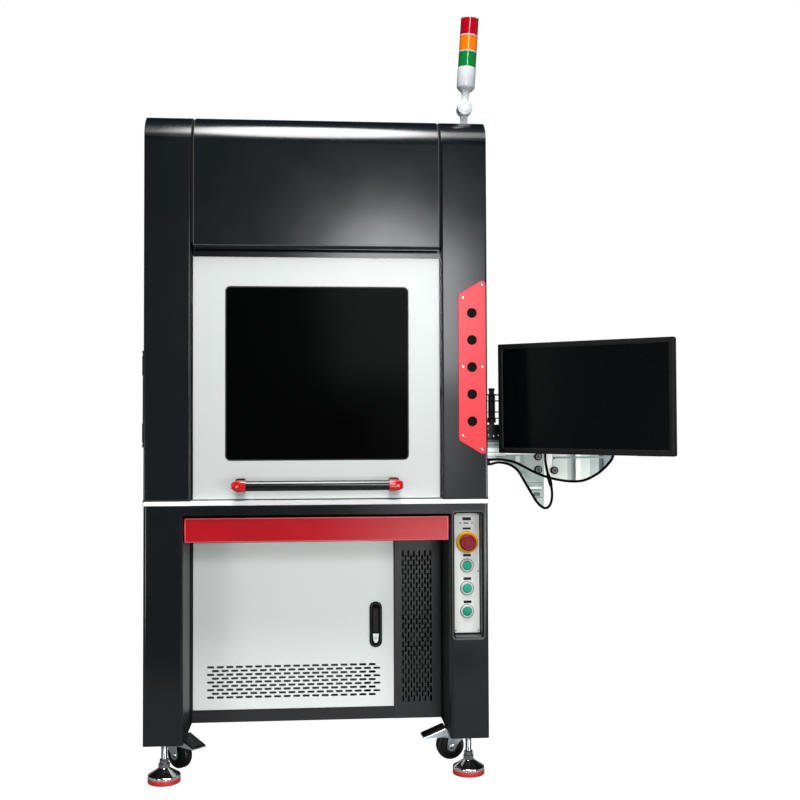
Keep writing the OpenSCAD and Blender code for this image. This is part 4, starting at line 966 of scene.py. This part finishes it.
CHEEK = [(-17, 86.5), (-15, 74), (12, 46), (17, 34), (20, 31), (24, 30), (28, 29.6), (32, 30), (36, 33), (38.4, 37), (38.5, 43), (38.2, 49), (36, 66), (50, 68), (50, 81), (38, 86), (20, 86.8), (20, 95.5), (-17, 95.5)]
for s, nm, nd in ((-1, "left", "front_left_fork"), (1, "right", "front_right_fork")):
    C = caster(s)
    bm = bmesh.new()
    for sd in (-1, 1):
        sheet = sheet2d([CHEEK, circle(44, 75, 3.05, 24)], 2.6)
        add(bm, sheet, C @ facing_front(sd * 18.5))
    # crown of the fork with its ball race
    add(bm, lathe([(6.1, 86.6), (24, 86.6), (24.6, 88.2), (24.6, 93.6), (22.5, 95.4), (6.1, 95.4), (6.1, 86.6)], 56), C)
    obj_from("fork_" + nm, bm, zinc, nm + "_caster", angle=35, bevel=0.6, replaces=nd)
    # axle: domed bolt head one side, nut the other
    bm = bmesh.new()
    add(bm, lathe([(0, -22.5), (4.9, -22.5), (4.9, 22.5), (0, 22.5)], 28), C @ along_y(28, 0, 43))
    add(bm, prism(6, 7.2, 19.9, 22.8, cham=0.7), C @ along_y(28, 0, 43))
    add(bm, lathe([(0, 24.6), (2.6, 24.2), (4.2, 23.0), (4.4, 19.9), (0, 19.9)], 28), C @ along_y(28, 0, 43))
    add(bm, lathe([(0, -24.4), (3.6, -24.0), (6.0, -22.6), (7.0, -19.9), (0, -19.9)], 28), C @ along_y(28, 0, 43))
    obj_from("axle_" + nm, bm, steel, nm + "_caster", angle=35)
    bm = bmesh.new()
    # pressed steel channel of the pedal, open underneath
    secs = []
    for x, zt, zb in ((41, 93.2, 71.5), (46, 93.4, 70.6), (60, 88.0, 69.8), (75, 82.2, 69.2), (90, 76.6, 68.8), (102, 72.6, 68.6), (106, 71.4, 68.4)):
        w = 23.8
        secs.append([Vector((x, y, z)) for y, z in [(-w, zb), (-w, zt - 1.4), (-w + 1.4, zt), (w - 1.4, zt), (w, zt - 1.4), (w, zb), (w - 2.2, zb), (w - 2.2, min(zt - 2.4, zb + 30)), (-w + 2.2, min(zt - 2.4, zb + 30)), (-w + 2.2, zb)]])
    add(bm, loft(secs), C)
    for sd in (-1, 1):
        add(bm, lathe([(0, -4), (3, -4), (3, 3.4), (5.2, 3.6), (5.2, 5.2), (0, 5.6)], 24), C @ Matrix.Translation((44, sd * 20.5, 75)) @ Matrix.Rotation(math.radians(-90 * sd), 4, "X"))
    obj_from("pedal_" + nm, bm, zinc_light, "pedal_" + nm[0], angle=32, bevel=0.4,
             replaces="left_brake_pedal" if s < 0 else "right_brake_pedal")
    # black tread pad on it, with low cross ribs
    bm = bmesh.new()
    secs = []
    for x, zt in ((43.5, 97.6), (46.5, 98.0), (60, 92.6), (75, 86.8), (90, 81.0), (102, 76.6), (104.8, 75.2)):
        w = 22.6
        zb = zt - 4.8
        secs.append([Vector((x, y, z)) for y, z in [(-w, zb), (-w, zt - 1.2), (-w + 1.4, zt), (w - 1.4, zt), (w, zt - 1.2), (w, zb)]])
    add(bm, loft(secs), C)
    for i in range(6):
        x = 58 + 8 * i
        z = 98.0 - (x - 46.5) * 0.388
        add(bm, box(-1.2, 1.2, -18, 18, -0.8, 0.5), C @ Matrix.Translation((x, 0, z)) @ Matrix.Rotation(math.radians(21.2), 4, "Y"))
    obj_from("pedal_pad_" + nm, bm, plastic("pedal_black_" + nm, (0.0014, 0.0015, 0.0016), 0.30, 1200, 0.06, Specular_IOR_Level=0.2), "pedal_" + nm[0], angle=32, bevel=0.4)

# ------------------------------------------------------------------ bracket on the side wall
ZLOW = [(636.9, 778), (656, 777.2), (680, 772.5), (700, 769), (719, 767.1), (738, 767.6), (758, 770.8), (777, 779.2), (796, 789.6), (811, 798.9), (826, 813), (838, 827.2), (843, 835.7)]


def zlow(x):
    for (x0, z0), (x1, z1) in zip(ZLOW, ZLOW[1:]):
        if x0 <= x <= x1:
            return z0 + (z1 - z0) * (x - x0) / (x1 - x0)
    return ZLOW[-1][1]


def strip(bm, x0, x1, y0, y1, top=844.8, lift=0.0, mat=0):
    n = 10
    p = [(x0 + (x1 - x0) * i / n, zlow(x0 + (x1 - x0) * i / n) + lift) for i in range(n + 1)]
    add(bm, sheet2d([p + [(x1, top), (x0, top)]], y1 - y0), facing_front((y0 + y1) / 2), mat)


bm = bmesh.new()
# wall flange with rounded corners, beam with a T-slot along each face
add(bm, sheet2d([rr(180, 760, 300, 900, 8)], 8), facing_side(454))
sec = []
for cx, cz, nx, nz in ((188, 862.5, 1, 0), (208, 885, 0, -1), (228, 862.5, -1, 0), (208, 840, 0, 1)):
    tx, tz = -nz, nx
    q = [(-4.1, 0), (-4.1, 2.2), (-8.5, 2.2), (-8.5, 4.0), (-4.5, 8.2), (4.5, 8.2), (8.5, 4.0), (8.5, 2.2), (4.1, 2.2), (4.1, 0)]
    sec.append([(cx + nx * b + tx * a, cz + nz * b + tz * a) for a, b in q])
front_, top_, back_, low_ = sec


def edge(a, b, notch):
    """One side of the section from corner a towards corner b with its notch."""
    order = notch if (Vector(notch[0]) - Vector(a)).length < (Vector(notch[-1]) - Vector(a)).length else notch[::-1]
    return [a] + order


c = [(188, 840), (228, 840), (228, 885), (188, 885)]
ring = edge(c[0], c[1], low_) + edge(c[1], c[2], back_) + edge(c[2], c[3], top_) + edge(c[3], c[0], front_)
add(bm, sheet2d([ring, circle(208, 862.5, 3.4, 20)], 72), facing_side(494))
add(bm, box(458, 660, 195, 232, 833, 840.9))
# gusset with its cut lower edge
gus = [(454, 844.8), (640.8, 844.8), (640.8, 694), (632.9, 698), (618, 713.6), (604.4, 735.8), (592, 756.8), (580.1, 777.2), (569.3, 795.4), (557.9, 807.6), (535.7, 822.2), (515.7, 828), (454, 828.2)]
add(bm, sheet2d([gus], 7), facing_front(194.5))
obj_from("bracket_beam", bm, alu_plate, "machine", angle=30, bevel=0.7, replaces="side_bracket")


def left_edge(z):
    for (x0, z0), (x1, z1) in zip(gus[2:], gus[3:]):
        if z1 >= z >= z0:
            return x0 + (x1 - x0) * (z - z0) / (z1 - z0)
    return 640.8


# pressed steps of the gusset and the edge profiles of the extrusions, in lighter and darker alloy copies: painted
# highlight and painted shade
bm = bmesh.new()
for x0, x1, z0, z1, d, mat in ((558.0, 572.0, 823.0, 842.0, 1.4, 1), (576.0, 640.0, 762.2, 765.2, 0.8, 2), (578.0, 640.0, 756.6, 758.8, 0.6, 2),
                               (572.0, 633.5, 747.2, 752.2, 2.2, 1), (572.0, 631.5, 742.6, 744.6, 0.8, 3), (572.0, 633.5, 736.8, 741.2, 1.6, 0),
                               (572.0, 629.5, 727.0, 736.6, 0.9, 3), (572.0, 636.0, 721.0, 725.4, 0.7, 2)):
    x0 = max(x0, left_edge(z0) + 1.2)
    add(bm, box(x0, x1, 191.1 - d, 191.6, z0, z1), mat=mat)
# faces of the beam's extrusion and the folded top of the gusset, in lighter and darker alloy copies: painted highlight
# and painted shade
for x0, x1, z0, z1, y, mat in ((458.2, 529.8, 879.2, 884.8, 187.3, 3), (458.2, 529.8, 873.6, 879.2, 186.9, 0), (458.2, 529.8, 867.9, 873.6, 187.4, 2),
                               (458.2, 529.8, 862.8, 867.9, 187.1, 0), (458.2, 529.8, 852.2, 862.8, 186.8, 1), (458.2, 463.6, 846.6, 852.2, 187.0, 3),
                               (463.6, 529.8, 849.6, 852.2, 187.2, 0), (463.6, 529.8, 841.0, 849.6, 186.8, 1), (458.2, 463.6, 842.0, 846.6, 187.1, 0),
                               (458.2, 463.6, 837.4, 842.0, 187.3, 3), (463.6, 505.0, 834.5, 841.0, 189.6, 1)):
    add(bm, box(x0, x1, y, 191.6, z0, z1), mat=mat)
obj_from("gusset_steps", bm, [alu_plate, alu_bright_and_highlight, alu_mid_and_shade, alu_shade_dark], "machine", angle=30, bevel=0.5)

# hanger strips stepped in depth, in lighter and darker alloy copies: painted highlight and painted shade
bm = bmesh.new()
strip(bm, 640.9, 666, 192, 236, mat=1)
strip(bm, 666, 708.4, 189.4, 236, lift=0.4, mat=5)
strip(bm, 708.4, 721.0, 199, 236, lift=0.4, mat=0)
strip(bm, 721.0, 733.0, 203, 236, lift=0.4, mat=2)
strip(bm, 733.0, 747.0, 191, 236, mat=1)
strip(bm, 747.0, 775.0, 195.5, 234, lift=0.3, mat=5)
strip(bm, 775.0, 801.4, 196.5, 234, lift=0.3, mat=0)
strip(bm, 801.4, 815.0, 203, 236, lift=0.4, mat=3)
strip(bm, 815.0, 842.6, 197, 236, lift=0.2, mat=4)
add(bm, box(667.5, 834, 187.6, 190.4, 832.6, 837.8), mat=4)
add(bm, box(667.5, 672.5, 187.4, 190.4, 830.6, 837.8), mat=3)
obj_from("bracket_hanger", bm, [alu_plate, alu_bright_and_highlight, alu_mid_and_shade, alu_shade_dark, alu_shade_blue, alu_lit_face], "machine", angle=30, bevel=0.7)
bm = bmesh.new()
# gusset bolts: socket in dark steel, head face in lighter grey as painted highlight, ring under the head in the
# near-black gap paint as painted shade
for x, y, z in ((624.3, 191, 838.4), (624.6, 191, 801.4), (670.4, 189.4, 798.9)):
    add(bm, lathe([(0, 4.0), (4.4, 4.0), (5.0, 7.6), (7.4, 7.4), (8.0, 6.8), (8.2, 5.2), (10.9, 4.8), (11.1, 0), (0, 0)], 36,
                  mats=[0, 0, 2, 2, 2, 1, 1, 1]), front_axis(x, y, z))
# clamp knob under the beam and the screws of the wall flange
add(bm, lathe([(0, 12.5), (3.0, 12.5), (3.4, 10.5), (7.2, 10.2), (8.0, 8.5), (8.2, 1.5), (6.8, 0), (0, 0)], 32), front_axis(477, 189, 824))
for y, z in ((194, 775), (286, 775), (194, 822), (286, 885), (286, 822)):
    bolt(bm, 458, y, z, 6.5, 6, axis="right", kind="cap")
obj_from("bracket_bolts", bm, [dark_bolt, gap_shade, bolt_highlight_grey], "machine", angle=38)

# ------------------------------------------------------------------ post and swing arm
PX, PY = 495, 208
bm = bmesh.new()
add(bm, lathe([(0, 929), (7.5, 929), (7.5, 1026.5), (0, 1026.5)], 40), Matrix.Translation((PX, PY, 0)))
add(bm, lathe([(0, 1026), (8.8, 1026), (9, 1027), (9, 1031.6), (7.6, 1033), (0, 1033)], 40), Matrix.Translation((PX, PY, 0)))
add(bm, lathe([(7, 934.6), (11.6, 934.6), (12, 935.4), (12, 945.2), (11.4, 945.9), (7, 945.9), (7, 934.6)], 40), Matrix.Translation((PX, PY, 0)))
add(bm, sheet2d([[(463, 885.2), (529, 885.2), (529, 893), (514, 929.4), (480, 929.4), (463, 906)], circle(481, 897, 3.2, 20), circle(500, 897, 3.2, 20)], 24), facing_front(PY))
add(bm, sheet2d([[(466, 887), (474, 887), (474, 1018), (471, 1022), (466, 1022)]], 9), facing_front(PY - 6))
obj_from("post", bm, black_plastic, "machine", angle=35, bevel=0.6, replaces="arm_post")
bm = bmesh.new()
for x, z in ((470.2, 921), (481.5, 917.5), (470.2, 901.5), (477.3, 893), (484.5, 898.5), (512, 897)):
    bolt(bm, x, PY - 12.2 if x > 475 else PY - 10.6, z, 3.1, 2.4, kind="cap")
obj_from("post_screws", bm, chrome, "machine", angle=40)

ARM = Matrix.Translation((PX, PY, 0)) @ Matrix.Rotation(math.radians(-40.7), 4, "Z")
bm = bmesh.new()
for z in (946, 963.5, 995, 1012):
    n = 14
    loop = [(278, -12), (278, 12)] + [(12 * math.cos(math.radians(a)), 12 * math.sin(math.radians(a))) for a in range(90, 271, 12)]
    slotp = slot2(150, 0, 190, 9, n=6)
    add(bm, sheet2d([loop, circle(0, 0, 7.6, 32), slotp], 3), ARM @ Matrix.Translation((0, 0, z + 1.5)))
# hub in three lengths with thin washers between
for z0, z1 in ((949, 963.4), (966.6, 994.9), (998.1, 1011.9)):
    add(bm, lathe([(7.6, z0), (9.4, z0), (10.0, z0 + 0.8), (10.0, z1 - 0.8), (9.4, z1), (7.6, z1), (7.6, z0)], 40), ARM)
add(bm, lathe([(7.6, 1015), (12, 1015), (12, 1016.4), (7.6, 1016.4), (7.6, 1015)], 40), ARM)
add(bm, box(268, 286, -14, 14, 945, 1016), ARM)
for z in (957, 1004):
    add(bm, lathe([(0, 0), (6, 0), (6, 20), (0, 20)], 28), ARM @ Matrix.Translation((262, -13.6, z)) @ Matrix.Rotation(math.radians(90), 4, "X") @ Matrix.Translation((0, 0, -20)))
# clips that take the leads
add(bm, box(164, 178, -10, 6, 936.2, 946.9), ARM)
add(bm, box(268, 374, -2, 14, 936.2, 945.4), ARM)
obj_from("arm_plates", bm, black_matte, "arm", angle=35, bevel=0.7, replaces="swing_arm")
bm = bmesh.new()
PINY = -(685.6 - 87.5 * math.sin(math.radians(-40.7)) - PX) * math.sin(math.radians(-40.7)) + (-72.7 + 87.5 * math.cos(math.radians(-40.7)) - PY) * math.cos(math.radians(-40.7))
add(bm, lathe([(0, 0), (4.5, 0), (5, 0.6), (5, 71.4), (4.5, 72), (0, 72)], 32), ARM @ Matrix.Translation((278, PINY, 997.1)) @ Matrix.Rotation(math.radians(90), 4, "Y"))
for x, z in ((273, 953), (273, 1008), (281, 953), (281, 1008)):
    add(bm, lathe([(0, 1.6), (1.6, 1.6), (1.8, 2.6), (3, 2.6), (3.2, 0), (0, 0)], 20), ARM @ Matrix.Translation((x, -14, z)) @ Matrix.Rotation(math.radians(90), 4, "X"))
obj_from("arm_pins", bm, steel, "arm", angle=38)

# ------------------------------------------------------------------ monitor
MC = Matrix.Translation((685.6, -72.7, 997.1)) @ Matrix.Rotation(math.radians(-40.7), 4, "Z")
MON = MC @ Matrix.Rotation(math.radians(0.55), 4, "Y") @ Matrix.Rotation(math.radians(1.35), 4, "X")
W2, H2 = 253.0, 148.8


def mon_rect(inset, y, r, off=(0, 0)):
    return [Vector((x + off[0], y, z + off[1])) for x, z in rr(-W2 + inset, -H2 + inset, W2 - inset, H2 - inset, r, 5)]


bm = bmesh.new()
# bezel: outer wall, eased front edge, flat face, step down to the pane
op = [(-W2 + 14.5, W2 - 14.5), (-H2 + 15, H2 - 14.5)]


def inner(d, y):
    return [Vector((x, y, z)) for x, z in rr(op[0][0] + d, op[1][0] + d, op[0][1] - d, op[1][1] - d, max(0.4, 1.2 - d), 5)]


add(bm, loft([inner(0.0, 2.4), inner(0.0, 1.2), inner(-1.0, 0.35), inner(-1.6, 0.05), mon_rect(1.6, 0.0, 3.0), mon_rect(0.6, 0.35, 3.6), mon_rect(0.0, 1.6, 4.0), mon_rect(0.0, 10.5, 4.0), mon_rect(0.5, 11.0, 4.0),
              mon_rect(0.5, 11.8, 4.0), mon_rect(0.0, 12.2, 4.0), mon_rect(0.3, 16.0, 5.0), mon_rect(4.0, 18.5, 8.0), mon_rect(30.0, 23.0, 16.0), mon_rect(60.0, 30.5, 24.0), mon_rect(78.0, 38.5, 24.0), mon_rect(84.0, 40.0, 20.0)], closed_ends=False), MON)
# close the back
add(bm, sheet2d([[(v.x, v.z) for v in mon_rect(83.8, 0, 20.0)]], 2.0), MON @ facing_front(39.2))
obj_from("monitor_case", bm, bezel_plastic, "monitor", angle=40, replaces="monitor_housing")
bm = bmesh.new()
# stepped block, mounting plate and the clevis
add(bm, sheet2d([rr(-60, -60, 60, 60, 8)] + [circle(a, b, 2.6, 16) for a in (-50, 50) for b in (-50, 50)], 5.0), MON @ facing_front(42.4))
add(bm, sheet2d([rr(-46, -24, 26, 24, 4)], 4.0), MC @ facing_front(44.6))
for x in (-38, 6):
    prof = [(42, -14), (87.5, -14)] + [(87.5 + 14 * math.cos(math.radians(a)), 14 * math.sin(math.radians(a))) for a in range(-90, 91, 10)] + [(42, 14)]
    add(bm, sheet2d([prof, circle(87.5, 0, 5.1, 28)], 12), MC @ Matrix(((0, 0, 1, x + 6), (1, 0, 0, 0), (0, 1, 0, 0), (0, 0, 0, 1))))
obj_from("monitor_mount", bm, black_matte, "monitor", angle=35, bevel=0.8)
bm = bmesh.new()
for i in range(26):
    add(bm, sheet2d([slot2(-100 + i * 8, 84, 26, 3.2, True)], 1.2), MON @ facing_front(34.0))
obj_from("monitor_vents", bm, socket_black, "monitor", angle=35)
bm = bmesh.new()
# sockets in a well at the lower back
for x, w, h in ((-70, 34, 9), (-20, 22, 8), (14, 12, 8), (60, 26, 18)):
    add(bm, sheet2d([rr(x - w / 2, -100 - h / 2, x + w / 2, -100 + h / 2, 1.5)], 1.4), MON @ facing_front(32.6))
for a in (-50, 50):
    for b in (-50, 50):
        add(bm, lathe([(0, 1.2), (1.4, 1.2), (1.6, 2.2), (3.8, 2.0), (4.2, 0), (0, 0)], 20), MON @ Matrix.Translation((a, 44.9, b)) @ Matrix.Rotation(math.radians(-90), 4, "X"))
obj_from("monitor_ports", bm, dark_bolt, "monitor", angle=35)
bm = bmesh.new()
add(bm, sheet2d([rr(-238.6, -134.0, 238.6, 134.4, 0.8)], 2.0), MON @ facing_front(3.1))
obj_from("monitor_pane", bm, screen_mat, "monitor", bevel=0.25, replaces="monitor_screen")
bm = bmesh.new()
for i in range(5):
    add(bm, box(150 + i * 14, 159 + i * 14, 5, 11.2, -149.4, -147.5), MON)
obj_from("monitor_keys", bm, black_matte, "monitor", bevel=0.3)
# ------------------------------------------------------------------ inside
bm = bmesh.new()
# work table's screw inserts
for i in range(-2, 3):
    for j in range(-2, 3):
        add(bm, lathe([(3.05, 784), (5.4, 784), (5.6, 785.2), (5.2, 786.3), (3.4, 786.3), (3.05, 785.6), (3.05, 784)], 20), Matrix.Translation((75 * i, 500 + 75 * j, 0)))
obj_from("table_inserts", bm, zinc, "machine", angle=38)

# ------------------------------------------------------------------ stage
bm = bmesh.new()
vs = [bm.verts.new(v) for v in ((-14, OY - 1.3, 0), (14, OY - 1.3, 0), (14, 16, 0), (-14, 16, 0))]
bm.faces.new(vs)
me = bpy.data.meshes.new("studio_floor")
bm.to_mesh(me)
bm.free()
floor = bpy.data.objects.new("studio_floor", me)
scene.collection.objects.link(floor)
fm = Mat("studio_white", (0.28, 0.28, 0.28), 0.6)
fm.vary_color(fm.noise(0.5, 2), 0.01)
em = fm.node("ShaderNodeEmission")
em.inputs["Color"].default_value = (1, 1, 1, 1)
em.inputs["Strength"].default_value = 1.0
lpn = fm.node("ShaderNodeLightPath")
mm_ = fm.node("ShaderNodeMixShader")
ad = fm.node("ShaderNodeAddShader")
fout = next(n_ for n_ in fm.t.nodes if n_.type == "OUTPUT_MATERIAL")
fm.link(fm.b.outputs[0], ad.inputs[0])
fm.link(em.outputs[0], ad.inputs[1])
fm.link(lpn.outputs["Is Camera Ray"], mm_.inputs["Fac"])
fm.link(fm.b.outputs[0], mm_.inputs[1])
fm.link(ad.outputs[0], mm_.inputs[2])
fm.link(mm_.outputs[0], fout.inputs["Surface"])
me.materials.append(fm.m)

# ------------------------------------------------------------------ light
scene.view_settings.view_transform = "Standard"
scene.view_settings.look = "None"


def softbox(name, at, aim, sx, sy, radiance, tint=(1, 1, 1), shape="RECTANGLE"):
    d = bpy.data.lights.new(name, "AREA")
    d.shape = shape
    d.size, d.size_y = sx, sy
    area = sx * sy * (math.pi / 4 if shape == "ELLIPSE" else 1)
    d.energy = radiance * math.pi * area
    d.color = tint
    o = bpy.data.objects.new(name, d)
    scene.collection.objects.link(o)
    p, t = V(*[c * 1000 for c in at]), V(*[c * 1000 for c in aim])
    z = (p - t).normalized()
    x = Vector((0, 0, 1)).cross(z)
    x = x.normalized() if x.length > 1e-4 else Vector((1, 0, 0))
    y = z.cross(x)
    o.matrix_world = Matrix(((x.x, y.x, z.x, p.x), (x.y, y.y, z.y, p.y), (x.z, y.z, z.z, p.z), (0, 0, 0, 1)))
    o.visible_camera = False
    return o


KEY_TINT = (0.955, 0.98, 1.0)
softbox("key", (0.46, -3.0, 1.56), (0.46, 0.0, 1.56), 0.72, 0.72, 10.3, KEY_TINT)
softbox("key_core", (0.38, -3.0, 1.74), (0.38, 0.0, 1.74), 0.64, 0.60, 17.5, KEY_TINT, "ELLIPSE")
softbox("top_front", (-0.02, -1.25, 4.05), (0.0, 0.0, 1.71), 1.22, 2.45, 22.0, shape="ELLIPSE")
softbox("top_wide", (0.60, -1.5, 4.4), (0.1, 0.0, 1.71), 3.2, 1.3, 4.0, shape="ELLIPSE")
softbox("key_low", (0.58, -3.0, 0.84), (0.58, 0.0, 0.84), 0.50, 0.60, 2.1, shape="ELLIPSE")
softbox("fill_left", (-1.85, -2.7, 0.50), (-0.2, 0.2, 0.40), 0.9, 0.8, 6.0)
softbox("fill_right", (2.15, -2.6, 0.50), (0.1, 0.2, 0.35), 0.9, 0.8, 13.2)
softbox("screen_side", (-2.45, -0.78, 1.15), (0.55, 0.05, 1.1), 0.35, 1.0, 2.0)
softbox("low_right", (0.84, -2.9, 0.18), (0.1, 0.0, 0.4), 1.15, 0.36, 6.0, shape="ELLIPSE")
lamp_strip = softbox("lamp_strip", (0.35, -3.0, 3.15), (0.41, 0.1, 1.98), 0.30, 0.9, 26.0)
lamp_set = bpy.data.collections.new("lamp_set")
for _n in ("lens_green", "lens_orange", "lens_red"):
    lamp_set.objects.link(bpy.data.objects[_n])
lamp_strip.light_linking.receiver_collection = lamp_set

w = bpy.data.worlds.new("studio")
scene.world = w
w.use_nodes = True
t = w.node_tree
bg = next(n_ for n_ in t.nodes if n_.type == "BACKGROUND")
out = next(n_ for n_ in t.nodes if n_.type == "OUTPUT_WORLD")
tc = t.nodes.new("ShaderNodeTexCoord")
sp = t.nodes.new("ShaderNodeSeparateXYZ")
mr = t.nodes.new("ShaderNodeValToRGB")
while len(mr.color_ramp.elements) > 1:
    mr.color_ramp.elements.remove(mr.color_ramp.elements[-1])
for _i, (_p, _v) in enumerate([(0.0, 0.10), (0.34, 0.10), (0.42, 0.22), (0.50, 0.45), (0.60, 0.30), (0.72, 0.14), (1.0, 0.14)]):
    _e = mr.color_ramp.elements[0] if _i == 0 else mr.color_ramp.elements.new(_p)
    _e.position, _e.color = _p, (_v, _v, _v, 1)
half = t.nodes.new("ShaderNodeMath")
half.operation = "MULTIPLY_ADD"
half.inputs[1].default_value = half.inputs[2].default_value = 0.5
gain = t.nodes.new("ShaderNodeMath")
gain.operation = "MULTIPLY"
gain.inputs[1].default_value = 1.4
t.links.new(tc.outputs["Generated"], sp.inputs[0])
t.links.new(sp.outputs["Y"], half.inputs[0])
t.links.new(half.outputs[0], mr.inputs[0])
low = t.nodes.new("ShaderNodeMapRange")
low.inputs["From Min"].default_value, low.inputs["From Max"].default_value = 0.14, 0.40
low.inputs["To Min"].default_value, low.inputs["To Max"].default_value = 1.0, 0.03
both = t.nodes.new("ShaderNodeMath")
both.operation = "MULTIPLY"
t.links.new(sp.outputs["Z"], low.inputs["Value"])
t.links.new(mr.outputs[0], both.inputs[0])
t.links.new(low.outputs["Result"], both.inputs[1])
t.links.new(both.outputs[0], gain.inputs[0])
t.links.new(gain.outputs[0], bg.inputs["Strength"])
bg.inputs["Color"].default_value = (0.97, 0.99, 1.0, 1)
bg2 = t.nodes.new("ShaderNodeBackground")
bg2.inputs["Color"].default_value = (1, 1, 1, 1)
lp_ = t.nodes.new("ShaderNodeLightPath")
mx = t.nodes.new("ShaderNodeMixShader")
t.links.new(lp_.outputs["Is Camera Ray"], mx.inputs["Fac"])
t.links.new(bg.outputs[0], mx.inputs[1])
t.links.new(bg2.outputs[0], mx.inputs[2])
t.links.new(mx.outputs[0], out.inputs["Surface"])
